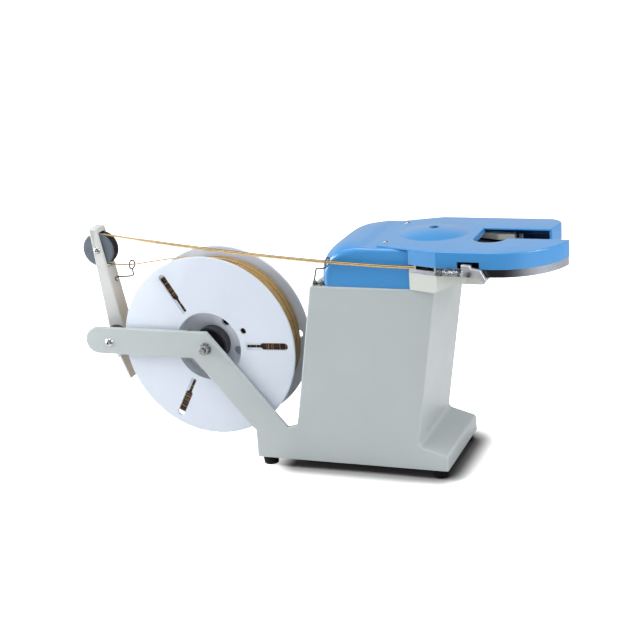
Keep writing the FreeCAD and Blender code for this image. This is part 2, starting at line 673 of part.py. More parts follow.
# ---------------------------------------------------------------------------
# Dancer arm, guide pulley, eyes
# ---------------------------------------------------------------------------
def web_x(z):
    """x of the sloping web's outer face at height z."""
    slope = (WEB_BEND[0] - WEB_TOP[0]) / (WEB_BEND[1] - WEB_TOP[1])
    return WEB_TOP[0] + (z - WEB_TOP[1]) * slope


EYE_WIRE_R = 0.75
EYE_LOOP_R = 2.45          # wire loops round the eye screws
FRONT_EYE = Vector(-317.0, -33.0, 265.5)
FRONT_EYE_SCREW = Vector(web_x(244.0), -33.0, 244.0)
REAR_EYE = Vector(-12.5, -78.0, 291.0)


def dancer_arm():
    """Folded sheet channel with a bent tongue below the pivot."""
    side = [(-370.3, 318.6, 1.5), WEB_TOP + (1.0,), WEB_BEND + (6.0,), (-330.0, 160.0, 8.0),
            (-340.0, 140.0, 3.0), (-342.6, 135.0, 0.5), (-347.2, 131.0, 1.0),
            (-352.5, 148.0, 6.0), (-356.2, 176.0, 10.0)]
    y0, y1 = DAN_Y0 + SHEET, DAN_Y1 - SHEET
    top, window_top, window_foot = 316.2, 312.5, 264.0
    bend_x, bend_z = WEB_BEND
    arm = prism(Y, side, DAN_Y0, DAN_Y1)
    arm = fillet(arm, 2.4, lambda edge: lies_on(edge, "Y", DAN_Y0, DAN_Y1)
                 and edge.BoundBox.ZMax - edge.BoundBox.ZMin > 100 and edge.BoundBox.XMax > -345)
    channel = [(-400, top), (web_x(top) - SHEET, top), (web_x(bend_z) - SHEET, bend_z),
               (bend_x - SHEET, 120.0), (-400, 120.0)]
    arm = arm.cut(prism(Y, channel, y0, y1))
    # pulley window in the web, and the web stops below the pivot
    window = [(web_x(window_top) - SHEET - 0.4, window_top), (web_x(window_top) + 3, window_top),
              (web_x(window_foot) + 3, window_foot),
              (web_x(window_foot) - SHEET - 0.4, window_foot)]
    arm = arm.cut(prism(Y, window, y0, y1))
    arm = arm.cut(box(-335.0, -320.0, y0, y1, 120.0, 161.0))
    jog = [(-330.6, 164.0), (-331.2, 158.0, 2), (-342.4, 137.0, 3.0), (-329.8, 103.8, 0.8),
           (-332.2, 102.8, 0.8), (-345.2, 136.5, 3.0), (-334.3, 157.5, 2), (-333.1, 164.0)]
    tongue = [(-342.6, 137.5), (-329.8, 103.8, 0.8), (-332.2, 102.8, 0.8), (-345.4, 137.5)]
    arm = arm.fuse(prism(Y, jog, y0, y1)).fuse(prism(Y, tongue, DAN_Y0, DAN_Y1))
    arm = arm.fuse(tube(PIVOT, Y, DAN_Y0 + 1, 7.0, PIVOT_R + RUN, DAN_Y1 - DAN_Y0 - 2))
    arm = drill(arm, [PIVOT], Y, (-60, PIVOT_R + RUN, 60))
    arm = drill(arm, [PULLEY], Y, (-60, 2.5, 60))
    return refine(drill(arm, [FRONT_EYE_SCREW], WEB_NORMAL, (-8.0, 1.55, 12.0)))


def dancer_pivot_screw():
    return fuse(cyl(PIVOT, Y, ARM_NEAR, PIVOT_R, 67.0),
                button_head(PIVOT, ARM_NEAR, radius=6.3, height=3.6, socket_r=2.2))


def dancer_spacer():
    bore = PIVOT_R + RUN
    return fuse(tube(PIVOT, Y, ARM_NEAR + ARM_T, 9.0, bore, 14.0),
                tube(PIVOT, Y, -53.0, 17.4, bore, 5.3))


def pivot_locknut():
    return hex_nut(PIVOT, Y, -13.0, 11.0, PIVOT_R, 4.5)


def dancer_spring():
    spring = coil(mean_r=8.2, wire_r=0.7, pitch=2.0, turns=3)
    return swing(spring, X, -90, PIVOT + Y * -20.9)


def guide_pulley():
    pulley = cyl(PULLEY, Y, -43.6, PULLEY_R, 17.2)
    pulley = fillet(pulley, 0.8, lambda edge: is_rim(edge, PULLEY_R))
    # V groove with a flat floor between the two rims (y, radius)
    section = [(-40.4, PULLEY_R + 1), (-38.4, GROOVE_R), (-31.6, GROOVE_R), (-29.6, PULLEY_R + 1)]
    groove = Part.Face(polygon([PULLEY + Vector(0, y, radius) for y, radius in section]))
    pulley = pulley.cut(groove.revolve(PULLEY, Y, 360))
    return drill(pulley, [PULLEY], Y, (-50, 3.0 + RUN, 40))


def pulley_axle():
    return fuse(cyl(PULLEY, Y, -44.95, 3.0, 19.9), cyl(PULLEY, Y, DAN_Y0, 2.45, 25.0),
                button_head(PULLEY, DAN_Y0, radius=5.0, height=2.8, socket_r=1.6),
                cyl(PULLEY, Y, DAN_Y1, 4.6, 3.0))


def front_eye_wire():
    """Wire eye on the dancer web."""
    loop_centre = FRONT_EYE_SCREW + WEB_NORMAL * 0.8
    ring = Part.makeTorus(5.9, EYE_WIRE_R, FRONT_EYE, Vector(1, 0.25, 0))
    loop = Part.makeTorus(EYE_LOOP_R, EYE_WIRE_R, loop_centre, WEB_NORMAL)
    stem = rod([loop_centre + WEB_UP * EYE_LOOP_R, Vector(-316.0, -33.0, 249.0),
                Vector(-316.9, -33.0, 259.6)], EYE_WIRE_R)
    return fuse(stem, ring, loop)


def front_eye_screw():
    at = FRONT_EYE_SCREW
    head = Part.makeSphere(4.2, at + WEB_NORMAL * (1.65 + 1.9 - 4.2))
    head = head.common(cyl(at, WEB_NORMAL, 1.65, 3.1, 3.0))
    screw = fuse(cyl(at, WEB_NORMAL, -5.0, 1.5, 8.0), head)
    return screw.cut(box(at.x + 2.7, at.x + 6, at.y - 0.35, at.y + 0.35, at.z - 2, at.z + 3))


def rear_eye_wire():
    """Wire eye on the near edge of the pedestal top, looped round two screws."""
    wire_z = PED_TOP + 1.15 + 0.76
    rear, front = [at + Z * wire_z for at in EYE_SCREWS]
    ring = Part.makeTorus(5.6, EYE_WIRE_R, REAR_EYE, Vector(1, -0.12, -0.1))
    rear_loop = Part.makeTorus(EYE_LOOP_R, EYE_WIRE_R, rear, Z)
    front_loop = Part.makeTorus(EYE_LOOP_R, EYE_WIRE_R, front, Z)
    stem = rod([rear - Y * EYE_LOOP_R, Vector(-35.0, -74.2, wire_z + 0.25),
                Vector(-33.2, -76.4, 262.6), Vector(-28.0, -77.6, 281.0),
                Vector(-19.8, -78.0, 282.0), Vector(-13.1, -78.0, 285.5)], EYE_WIRE_R)
    bridge = rod([rear + X * EYE_LOOP_R, front - X * EYE_LOOP_R], EYE_WIRE_R)
    return fuse(rear_loop, bridge, front_loop, stem, ring)


def rear_eye_screws():
    """Screw, nut and washer in one piece at each place."""
    return Part.makeCompound([fuse(hex_nut(at, Z, PED_TOP + 2.74, 5.5, 0.5, 2.4),
                                   cyl(at, Z, PED_TOP - 3.0, 1.55, 10.0),
                                   tube(at, Z, PED_TOP, 3.4, 1.0, 1.13)) for at in EYE_SCREWS])


# ---------------------------------------------------------------------------
# Tie ribbon run: reel, front eye, pulley, rear eye, inlet
# ---------------------------------------------------------------------------
RIBBON_W, RIBBON_T = 4.4, 0.7
RIBBON_Y = -35.0
RIBBON_SAG = 6.75          # mid-span sag of the long run


def ribbon_section(centre, tangent, width):
    """Rectangle square to the tangent, its long side nearest the width direction."""
    tangent.normalize()
    width = width - tangent * width.dot(tangent)
    width.normalize()
    side = width * (RIBBON_W / 2)
    thick = tangent.cross(width) * (RIBBON_T / 2)
    return polygon([centre + side + thick, centre - side + thick,
                    centre - side - thick, centre + side - thick])


def tie_ribbon():
    path = []              # centre, tangent, width direction
    lift_r = WOUND_R + 0.45 + RIBBON_T / 2
    for degrees in (76.0, 82.0, 88.0, 94.0):
        path.append((around(REEL, Y, lift_r, degrees, RIBBON_Y),
                     around(ORIGIN, Y, 1, degrees + 90), Y))
    path += [(Vector(-245.0, RIBBON_Y + 0.6, 272.3), Vector(-1, 0, -0.08), Y),
             (Vector(-285.0, RIBBON_Y + 1.4, 268.5), Vector(-1, 0, -0.1), Y),
             (Vector(-317.0, -33.0, 265.6), Vector(-1, 0, -0.06), Y),
             (Vector(-345.0, -34.4, 265.9), Vector(-1, -0.02, 0.05), Y)]
    wrap_r = GROOVE_R + 0.35 + RIBBON_T / 2
    for k in range(17):
        degrees = -84.0 - 192.5 * k / 16
        path.append((around(PULLEY, Y, wrap_r, degrees, RIBBON_Y),
                     around(ORIGIN, Y, 1, degrees - 90), Y))
    # long run from the pulley top to the rear eye, turning on edge
    start = PULLEY + Vector(3.0, RIBBON_Y, wrap_r - 0.1)
    span = REAR_EYE - start
    for k in range(1, 9):
        u = k / 8.0
        centre = start + span * u - Z * (RIBBON_SAG * 4 * u * (1 - u))
        tangent = Vector(1, span.y / span.x, -0.05 + 0.14 * (u - 0.5))
        path.append((centre, tangent, around(ORIGIN, X, 1, 90 * u)))
    path += [(Vector(40.0, -79.2, 289.0), Vector(1, -0.02, -0.02), Z),
             (Vector(100.0, -80.6, 287.6), Vector(1, -0.05, 0), Z)]
    return Part.makeLoft([ribbon_section(*station) for station in path], True, True)


# ---------------------------------------------------------------------------
# Release lever with its return spring
# ---------------------------------------------------------------------------
def release_lever():
    y0, y1 = -95.0, -88.5
    outline = [(166.6, 297.0, 0.8), (178.0, 296.0, 0.8), (180.0, 292.4, 0.8), (187.5, 291.2, 1.0),
               (191.4, 290.0, 1.5), (198.3, 278.0, 1.5), (195.6, 273.6, 1.2), (189.0, 280.6, 1.0),
               (186.0, 282.0, 1.0), (178.0, 281.0, 2.0), (167.0, 281.4, 1.5), (165.8, 285.5, 1.5),
               (168.5, 289.5, 1.0)]
    lever = prism(Y, outline, y0, y1)
    lever = fillet(lever, 0.7, lambda edge: lies_on(edge, "Y", y0))
    lever = lever.fuse(cyl(LEVER, Y, y1, 4.0, 1.6)).cut(cyl(LEVER, Y, -100, 2.0 + RUN, 20))
    spring_post = Vector(168.6, 0, 285.6)
    return fuse(lever, cyl(spring_post, Y, y0 - 1.6, 1.3, 2.4),
                cyl(spring_post, Y, y0 - 2.4, 2.2, 0.8))


def lever_pin():
    return turned(LEVER, Y, (-96.0, 2.0, 16.0), (-97.2, 3.2, 1.2))


def spring_anchor_screw():
    screw = turned(ANCHOR, Y, (-96.4, 1.55, 16.6), (-98.0, 3.3, 1.8))
    return screw.cut(block(ANCHOR, 4, 0.4, -99, -97.3))


def lever_spring():
    spring = coil(mean_r=3.5, wire_r=0.62, pitch=1.32, turns=13)
    return swing(spring, Y, 90, Vector(142.0, -92.2, 286.0))


# ---------------------------------------------------------------------------
# Drive: motor, belt, main shaft, bevel pair, twister
# ---------------------------------------------------------------------------
SMALL_R, LARGE_R = 12.0, 24.0      # belt pulleys
BELT_Z0, BELT_Z1 = 263.0, 269.0


def drive_motor():
    motor = turned(MOTOR, Z, (158.0, 32.0, 88.0), (246.0, 33.0, 4.0), (250.0, 10.95, 4.0),
                   (150.0, 24.0, 8.0))
    motor = drill(motor, [MOTOR], Z, (149, 4.0 + RUN, 120))
    return refine(drill(motor, MOTOR_SCREWS, Z, (240.0, 2.0, 12.0)))


def motor_screws():
    return Part.makeCompound([turned(at, Z, (242.0, 1.95, 15.0), (PED_TOP, 3.6, 2.4))
                              for at in MOTOR_SCREWS])


def belt_pulley(centre, radius, bore, hub_top=None):
    pulley = turned(centre, Z, (BELT_Z0 - 1.3, radius + 2.2, 1.2),
                    (BELT_Z0 - 0.2, radius, BELT_Z1 - BELT_Z0 + 0.4),
                    (BELT_Z1 + 0.1, radius + 2.2, 1.2))
    if hub_top is not None:
        hub_z = BELT_Z1 + 1.2
        pulley = fuse(pulley, cyl(centre, Z, hub_z, 9.0, hub_top - hub_z))
    return drill(pulley, [centre], Z, (200, bore, 100))


def motor_pulley():
    """Small pulley in one piece with the motor shaft."""
    return fuse(belt_pulley(MOTOR, SMALL_R, 3.9, hub_top=276.0), cyl(MOTOR, Z, 152.0, 4.0, 124.0))


def driven_pulley():
    holes = [around(MAIN, Z, 16.0, 72 * k) for k in range(5)]
    return drill(belt_pulley(MAIN, LARGE_R, 6.0), holes, Z, (255, 4.0, 20))


def belt_prism(grow, z0, z1):
    """Loop round both pulleys, standing off them by grow."""
    small_r, large_r = SMALL_R + grow, LARGE_R + grow
    motor, main = MOTOR + Z * z0, MAIN + Z * z0
    run = main - motor
    heading = math.degrees(math.atan2(run.y, run.x))
    swing_off = math.degrees(math.acos((small_r - large_r) / run.Length))
    far, near = heading + swing_off, heading - swing_off
    motor_far, motor_near = [around(motor, Z, small_r, angle) for angle in (far, near)]
    main_far, main_near = [around(main, Z, large_r, angle) for angle in (far, near)]
    loop = Part.Wire([Part.makeLine(motor_far, main_far),
                      arc(main_far, around(main, Z, large_r, heading), main_near),
                      Part.makeLine(main_near, motor_near),
                      arc(motor_near, around(motor, Z, -small_r, heading), motor_far)])
    return Part.Face(loop).extrude(Z * (z1 - z0))


def drive_belt():
    return belt_prism(1.7, BELT_Z0, BELT_Z1).cut(belt_prism(0.15, BELT_Z0 - 1, BELT_Z1 + 1))


def main_shaft():
    return turned(MAIN, Z, (252.0, 4.0, 57.0), (261.4, 6.0, 20.2))


def main_bearings():
    return Part.makeCompound([tube(MAIN, Z, z, 11.0, 4.0 + RUN, 7.0) for z in (253.5, 282.0)])


# bevel pair, shafts at right angles with a common apex
GEAR_TEETH, PINION_TEETH, MODULE = 32, 16, 1.5
GEAR_R, PINION_R = GEAR_TEETH * MODULE / 2, PINION_TEETH * MODULE / 2
CONE = math.hypot(GEAR_R, PINION_R)
FACE_W = 7.0
APEX = Vector(MAIN.x, MAIN.y, TWISTER.z)


def bevel(teeth, radius, apex_height, bore, phase):
    """Bevel gear, axis +Z, apex at the origin, pitch circle at z = -apex_height."""
    addendum, dedendum = 1.05, 1.45
    inner_scale = (CONE - FACE_W) / CONE
    half_angle = math.atan2(radius, apex_height)
    # directions in the axial half plane: along the cone, and outward square to it
    along = Vector(math.sin(half_angle), 0, -math.cos(half_angle))
    outward = Vector(math.cos(half_angle), 0, math.sin(half_angle))
    root_out = along * CONE - outward * dedendum
    root_in = root_out * inner_scale
    back = root_out - Z * 0.9
    section = [Vector(bore, 0, back.z), back, root_out, root_in, Vector(bore, 0, root_in.z)]
    gear = Part.Face(polygon(section)).revolve(ORIGIN, Z, 360)
    half = math.pi * MODULE / 4 * 0.86
    flank = math.tan(math.radians(20))
    base = dedendum + 0.25     # teeth are sunk into the blank
    half_base, half_tip = half + base * flank, half - addendum * flank
    for k in range(teeth):
        angle = 2 * math.pi * (k + phase) / teeth
        tangent = Vector(-math.sin(angle), math.cos(angle), 0)

        def tooth_point(height, side, scale):
            flat = (along * CONE + outward * height) * scale
            radial = Vector(math.cos(angle), math.sin(angle), 0) * flat.x
            return radial + tangent * (side * scale) + Z * flat.z

        outer, inner = [[tooth_point(-base, -half_base, scale),
                         tooth_point(-base, half_base, scale),
                         tooth_point(addendum, half_tip, scale),
                         tooth_point(addendum, -half_tip, scale)] for scale in (1.0, inner_scale)]
        faces = [Part.Face(polygon(outer)), Part.Face(polygon(inner))]
        for i in range(4):
            j = (i + 1) % 4
            faces.append(Part.Face(polygon([outer[i], outer[j], inner[j], inner[i]])))
        tooth = Part.makeSolid(Part.makeShell(faces))
        if tooth.Volume < 0:   # the shell may come out inside out
            tooth.reverse()
        gear = gear.fuse(tooth)
    return gear


def bevel_gear():
    gear = bevel(GEAR_TEETH, GEAR_R, PINION_R, bore=9.0, phase=0.5)
    gear.translate(APEX)
    return gear.fuse(tube(MAIN, Z, 270.4, 14.0, 6.0, 3.0)).cut(cyl(MAIN, Z, 250, 6.0, 60))


def bevel_pinion():
    pinion = bevel(PINION_TEETH, PINION_R, GEAR_R, bore=5.0, phase=0.0)
    pinion = swing(pinion, Y, -90, APEX)   # pitch side turns from -Z to +X
    return drill(pinion, [TWISTER], X, (100, 5.0, 60))


def twister_hook():
    shaft = turned(TWISTER, X, (120.5, 5.0, 32.0), (152.5, 3.2, 4.0))
    # upper half of the forked hook (x, height above the axis, corner radius)
    upper = [(155.5, 3.6, 1.0), (163.2, 3.6, 1.2), (163.2, 0.6, 0.8), (159.0, 1.4, 0.6)]
    outline = [(x, TWISTER.z + height, radius) for x, height, radius in upper]
    outline += [(x, TWISTER.z - height, radius) for x, height, radius in reversed(upper)]
    return fuse(shaft, prism(Y, outline, MAIN.y - 2.0, MAIN.y + 2.0))


def twister_bearing_block():
    y = MAIN.y
    bearing = box(139.0, 149.8, y - 9.5, y + 9.5, 272.0, 279.9)
    bearing = bearing.fuse(box(139.0, 143.8, y - 9.5, y + 9.5, 272.0, 291.0))
    bearing = bearing.fuse(box(143.0, 149.8, y - 5.8, y + 5.8, 279.0, 290.6))
    return refine(drill(bearing, [TWISTER], X, (130, 5.0 + RUN, 40)))


def cam_disc():
    """Disc with an off-centre circular track in its top."""
    cam = turned(MAIN, Z, (298.3, 28.0, 3.2), (290.6, 8.0, 11.1))
    track = tube(MAIN + X * 4.0, Z, 299.7, 20.5, 15.5, 5.0)
    return drill(cam.cut(track), [MAIN], Z, (280, 4.0, 40))


# ---------------------------------------------------------------------------
# Needle arm, trigger and switch
# ---------------------------------------------------------------------------
def needle_arm():
    outline = [(133.0, 60.0, 6.0), (140.0, 67.0, 4.0), (152.0, 66.5, 6.0), (180.0, 57.0, 20.0),
               (203.0, 55.5), (203.0, 43.5), (180.0, 43.5, 4.0), (172.5, 47.0, 6.0),
               (150.0, 53.5, 10.0), (137.0, 51.0, 5.0)]
    tail = [(134.5, 62.0, 3), (111.5, 24.5, 3.5), (117.0, 20.0, 3.5), (148.0, 56.0, 4),
            (143.0, 66.0, 3)]
    top = 300.0
    arm = prism(Z, outline, 292.0, top).fuse(prism(Z, tail, 302.9, 305.2))
    arm = arm.fuse(cyl(NEEDLE, Z, 290.4, 8.0, 14.8))
    # pin under the tail end
    arm = arm.fuse(cyl(Vector(115.6, 24.6), Z, 301.9, 2.2, 2.0))
    arm = drill(arm, [NEEDLE], Z, (270, 4.0, 50))
    return fillet(refine(arm), 1.2,
                  lambda edge: lies_on(edge, "Z", top) and edge.BoundBox.XMin > 150)


def needle_tip():
    outline = [(203.0, 56.0), (210.0, 56.0, 1.0), (213.5, 43.0, 1.0), (203.0, 43.0)]
    return prism(Z, outline, 291.0, 301.0).cut(box(204.5, 208.0, 40, 60, 296.0, 302.0))


def needle_shaft():
    return turned(NEEDLE, Z, (275.0, 4.0, 30.2), (305.2, 6.5, 1.6))


def trigger_plunger():
    return fuse(cyl(TRIGGER, X, 151.5, 2.5, 18.5), Part.makeSphere(2.5, TRIGGER + X * 170.0),
                cyl(TRIGGER, X, 159.9, 3.6, 1.2))


def trigger_guide():
    guide = box(150.6, 154.2, TRIGGER.y - 5, TRIGGER.y + 5, PLATE_Z1, 302.0)
    return drill(guide, [TRIGGER], X, (140, 2.5 + RUN, 30))


def microswitch():
    body = box(128.5, 145.0, -19.5, -10.5, PLATE_Z1, 303.0)
    body = body.fuse(box(145.0, 146.2, -17.5, -12.5, 292.0, 300.5))
    holes = [Vector(131.5, 0, 293.0), Vector(141.5, 0, 293.0)]
    return refine(drill(body, holes, Y, (-25, 1.3, 20)))


# ---------------------------------------------------------------------------
# Electrics
# ---------------------------------------------------------------------------
def block(centre, half_x, half_z, y0, y1):
    return box(centre.x - half_x, centre.x + half_x, y0, y1, centre.z - half_z, centre.z + half_z)


def bezel(centre, half_x, half_z, radius, thickness):
    """Rounded flange on the outside of the far wall."""
    outline = rectangle(centre.x - half_x, centre.x + half_x,
                        centre.z - half_z, centre.z + half_z, radius)
    return prism(Y, outline, PED_HALF_W, PED_HALF_W + thickness)


def control_board():
    board = box(-18.0, 78.0, 59.4, 61.0, 97.0, 183.0)
    board = drill(board, BOARD_HOLES, Y, (50, 1.6, 20))
    return fuse(board, box(0, 28, 41.0, 59.5, 120, 150), box(40, 60, 47.0, 59.5, 110, 128),
                cyl(Vector(50, 0, 155), Y, 38.0, 8.0, 21.5))


def power_inlet():
    inlet = block(INLET, 13.5, 10.0, 50.0, PED_HALF_W).fuse(bezel(INLET, 17, 13, 2, 3.0))
    # socket (x and z from the inlet axis, corner radius)
    socket = [(-11, -7.5, 1), (11, -7.5, 1), (11, 5.0, 3), (7.0, 8.0, 1), (-7.0, 8.0, 1),
              (-11, 5.0, 3)]
    outline = [(INLET.x + x, INLET.z + z, radius) for x, z, radius in socket]
    inlet = inlet.cut(prism(Y, outline, 60.0, 79.0))
    for x, z in ((-7, -1.5), (7, -1.5), (0, 2.0)):     # contact blades
        inlet = inlet.fuse(block(INLET + Vector(x, 0, z), 1.0, 2.0, 59.0, 74.0))
    return refine(inlet)


ROCKER_PIVOT = Vector(0, 73.0, SWITCH.z)   # along X


def switch_frame():
    frame = block(SWITCH, 6.5, 9.5, 58.0, PED_HALF_W).fuse(bezel(SWITCH, 7.8, 11, 1.5, 2.0))
    frame = frame.cut(block(SWITCH, 5.2, 8.2, 62.0, 80.0))
    return refine(drill(frame, [ROCKER_PIVOT], X, (SWITCH.x - 6.3, 1.2 + RUN, 12.6)))


def rocker_button():
    """Rocker pivoting about X, with its lower side pressed in."""
    z = SWITCH.z
    outline = [(70.0, z - 6.6, 0.5), (75.2, z - 6.6, 0.8), (77.0, z, 2.0),
               (79.2, z + 6.6, 0.8), (70.0, z + 6.6, 0.5)]
    rocker = prism(X, outline, SWITCH.x - 5.0, SWITCH.x + 5.0)
    return fuse(rocker, cyl(ROCKER_PIVOT, X, SWITCH.x - 6.2, 1.2, 12.4))


# Each function builds one piece, saved under the function's name.
PIECES = [
    pedestal_housing, base_plate, base_plate_screws, rubber_feet, foot_screws,
    neck_casting, head_plate, head_socket_screws, ribbon_inlet_guide,
    front_cover, rear_cover, cover_screws,
    reel_near_flange, reel_far_flange, reel_core, wound_ribbon, hub_adapter, hub_bushes,
    reel_axle, axle_washers, axle_nut, axle_thumb_collar,
    dancer_arm, dancer_pivot_screw, dancer_spacer, pivot_locknut, dancer_spring,
    guide_pulley, pulley_axle, front_eye_wire, front_eye_screw, rear_eye_wire, rear_eye_screws,
    tie_ribbon, release_lever, lever_pin, spring_anchor_screw, lever_spring,
    drive_motor, motor_screws, motor_pulley, driven_pulley, drive_belt, main_shaft,
    main_bearings, bevel_gear, bevel_pinion, twister_hook, twister_bearing_block, cam_disc,
    needle_arm, needle_tip, needle_shaft, trigger_plunger, trigger_guide, microswitch,
    control_board, power_inlet, switch_frame, rocker_button,
]

os.makedirs("parts", exist_ok=True)
for build in PIECES:
    save(build.__name__, build())
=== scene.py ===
"""A bench machine that feeds tie ribbon from a reel to a head on a pedestal.

Pieces are laid out in millimetres: +X along the machine, with the reel and its dancer arm
at the -X end, -Y towards the camera, +Z up from the floor.  The reel, the pulley and the
dancer pivot all turn about axes along Y.
"""
import bpy
import bmesh
import math
import random
from mathutils import Vector, Matrix


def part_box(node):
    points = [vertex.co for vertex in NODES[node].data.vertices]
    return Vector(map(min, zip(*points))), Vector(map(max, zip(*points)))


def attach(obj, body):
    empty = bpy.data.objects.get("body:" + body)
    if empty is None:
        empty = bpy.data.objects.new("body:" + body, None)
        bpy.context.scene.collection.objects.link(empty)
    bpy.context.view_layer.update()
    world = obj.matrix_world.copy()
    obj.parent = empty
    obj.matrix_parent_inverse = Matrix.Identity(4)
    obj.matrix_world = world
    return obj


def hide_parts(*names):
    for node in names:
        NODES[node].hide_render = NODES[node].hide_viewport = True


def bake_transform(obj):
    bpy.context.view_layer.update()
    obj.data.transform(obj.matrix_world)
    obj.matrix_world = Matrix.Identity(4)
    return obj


PI = math.pi
MM = 0.001
LAYOUT_X, LAYOUT_Y = 49.58, 6.5      # the layout's origin in the scene, mm

# Centres of the turning parts, (x, z) in mm
REEL = (-197.0, 163.5)
PULLEY = (-361.0, 288.0)
PIVOT = (-342.9, 165.0)
SPRING_ANCHOR = (138.3, 286.2)
REAR_EYE = Vector((-12.5, -78.0, 291.0))

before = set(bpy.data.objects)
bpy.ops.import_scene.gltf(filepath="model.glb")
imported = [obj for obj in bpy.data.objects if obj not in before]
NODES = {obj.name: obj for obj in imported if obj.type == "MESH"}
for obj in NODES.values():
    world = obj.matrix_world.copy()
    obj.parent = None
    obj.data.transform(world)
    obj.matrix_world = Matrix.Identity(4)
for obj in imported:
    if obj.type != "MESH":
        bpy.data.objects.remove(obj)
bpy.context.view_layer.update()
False
rng = random.Random(11)


def place(x, y, z):
    """A layout point (mm) as a scene point (m)."""
    return Vector(((x + LAYOUT_X) * MM, (y + LAYOUT_Y) * MM, z * MM))


# ---------------------------------------------------------------------------
# Shader graphs
# ---------------------------------------------------------------------------
def linear(rgb):
    """An 8-bit sRGB colour as linear RGBA."""
    def channel(value):
        value /= 255.0
        return value / 12.92 if value <= 0.04045 else ((value + 0.055) / 1.055) ** 2.4
    return tuple(channel(value) for value in rgb) + (1.0,)


def scaled(colour, factor):
    return tuple(min(1.0, value * factor) for value in colour[:3]) + (1,)


class Graph:
    """The node tree of a material or world.

    A value given to a method is an output socket or a constant.  Methods return output
    sockets, apart from add, surface and vector_math, which return the node.
    """

    def __init__(self, owner):
        owner.use_nodes = True
        self.tree = owner.node_tree
        self.tree.nodes.clear()
        self.coords = self.add("ShaderNodeTexCoord")

    def add(self, kind, **settings):
        node = self.tree.nodes.new(kind)
        for key, value in settings.items():
            setattr(node, key, value)
        return node

    def feed(self, target, value):
        if isinstance(value, bpy.types.NodeSocket):
            self.tree.links.new(value, target)
        else:
            target.default_value = value

    def surface(self):
        output = self.add("ShaderNodeOutputMaterial")
        principled = self.add("ShaderNodeBsdfPrincipled")
        self.feed(output.inputs[0], principled.outputs[0])
        return principled

    def noise(self, scale, detail, rough, stretch=None):
        node = self.add("ShaderNodeTexNoise")
        node.inputs["Scale"].default_value = scale
        node.inputs["Detail"].default_value = detail
        node.inputs["Roughness"].default_value = rough
        source = self.coords.outputs["Object"]
        if stretch:
            mapping = self.add("ShaderNodeMapping")
            mapping.inputs["Scale"].default_value = stretch
            self.feed(mapping.inputs[0], source)
            source = mapping.outputs[0]
        self.feed(node.inputs[0], source)
        return node.outputs[0]

    def ramp(self, value, stops):
        """Stops are (position, grey level or RGBA)."""
        node = self.add("ShaderNodeValToRGB")
        elements = node.color_ramp.elements
        while len(elements) < len(stops):
            elements.new(0.5)
        for element, (position, colour) in zip(elements, stops):
            element.position = position
            element.color = colour if isinstance(colour, tuple) else (colour,) * 3 + (1,)
        self.feed(node.inputs[0], value)
        return node.outputs[0]

    def remap(self, value, to=(0.0, 1.0), span=(0.3, 0.7), **settings):
        """Map the input range span onto the output range to."""
        node = self.add("ShaderNodeMapRange", **settings)
        for i, limit in enumerate((*span, *to)):
            node.inputs[1 + i].default_value = limit
        self.feed(node.inputs[0], value)
        return node.outputs[0]

    def mix(self, factor, a, b, blend="MIX"):
        node = self.add("ShaderNodeMix", data_type="RGBA", blend_type=blend)
        for i, value in ((0, factor), (6, a), (7, b)):
            self.feed(node.inputs[i], value)
        return node.outputs[2]

    def math(self, operation, a, b, clamp=False):
        node = self.add("ShaderNodeMath", operation=operation, use_clamp=clamp)
        self.feed(node.inputs[0], a)
        self.feed(node.inputs[1], b)
        return node.outputs[0]

    def vector_math(self, operation, a, b=None):
        node = self.add("ShaderNodeVectorMath", operation=operation)
        self.feed(node.inputs[0], a)
        if b is not None:
            self.feed(node.inputs[1], b)
        return node

    def occlusion(self, samples, distance, normal=None):
        node = self.add("ShaderNodeAmbientOcclusion", samples=samples)
        node.inputs["Distance"].default_value = distance
        if normal is not None:
            self.feed(node.inputs["Normal"], normal)
        return node.outputs[1]

    def bump(self, height, strength, distance, normal=None):
        node = self.add("ShaderNodeBump")
        node.inputs["Strength"].default_value = strength
        node.inputs["Distance"].default_value = distance
        self.feed(node.inputs["Height"], height)
        if normal is not None:
            self.feed(node.inputs["Normal"], normal)
        return node.outputs[0]


# ---------------------------------------------------------------------------
# Finishes
# ---------------------------------------------------------------------------
FINISH = {}


def add_specks(graph, tone, amount, speck):
    spots = graph.ramp(graph.noise(scale=420.0, detail=2.0, rough=0.5),
                       [(0.0, 0), (0.70 - 0.1 * amount, 0), (0.78, 1)])
    return graph.mix(graph.math("MULTIPLY", spots, amount), tone, linear(speck))


def add_painted_edge_highlights(graph, tone, rounded, edge, edge_highlight):
    """Paint a highlight on edges: lighten places where the rounded normal leaves the true one.
    """
    geometry = graph.add("ShaderNodeNewGeometry")
    match = graph.vector_math("DOT_PRODUCT", rounded, geometry.outputs["Normal"])
    amount = graph.remap(match.outputs["Value"], to=(edge_highlight, 0.0), span=(0.82, 0.995))
    patches = graph.remap(graph.noise(scale=240.0, detail=3.0, rough=0.6),
                          to=(0.45, 1.0), span=(0.35, 0.6))
    return graph.mix(graph.math("MULTIPLY", amount, patches), tone, linear(edge))


def add_painted_reflection_bands(graph, tone, span, levels):
    """Multiply the tone by (position, grey) bands over a span of object X, in metres; the bands
    are a painted reflection.
    """
    coords = graph.add("ShaderNodeTexCoord")
    separate = graph.add("ShaderNodeSeparateXYZ")
    graph.feed(separate.inputs[0], coords.outputs["Object"])
    bands = graph.ramp(graph.remap(separate.outputs[0], span=span),
                       [(position, (grey, grey * 1.01, grey * 1.04, 1))
                        for position, grey in levels])
    return graph.mix(1.0, tone, bands, blend="MULTIPLY")


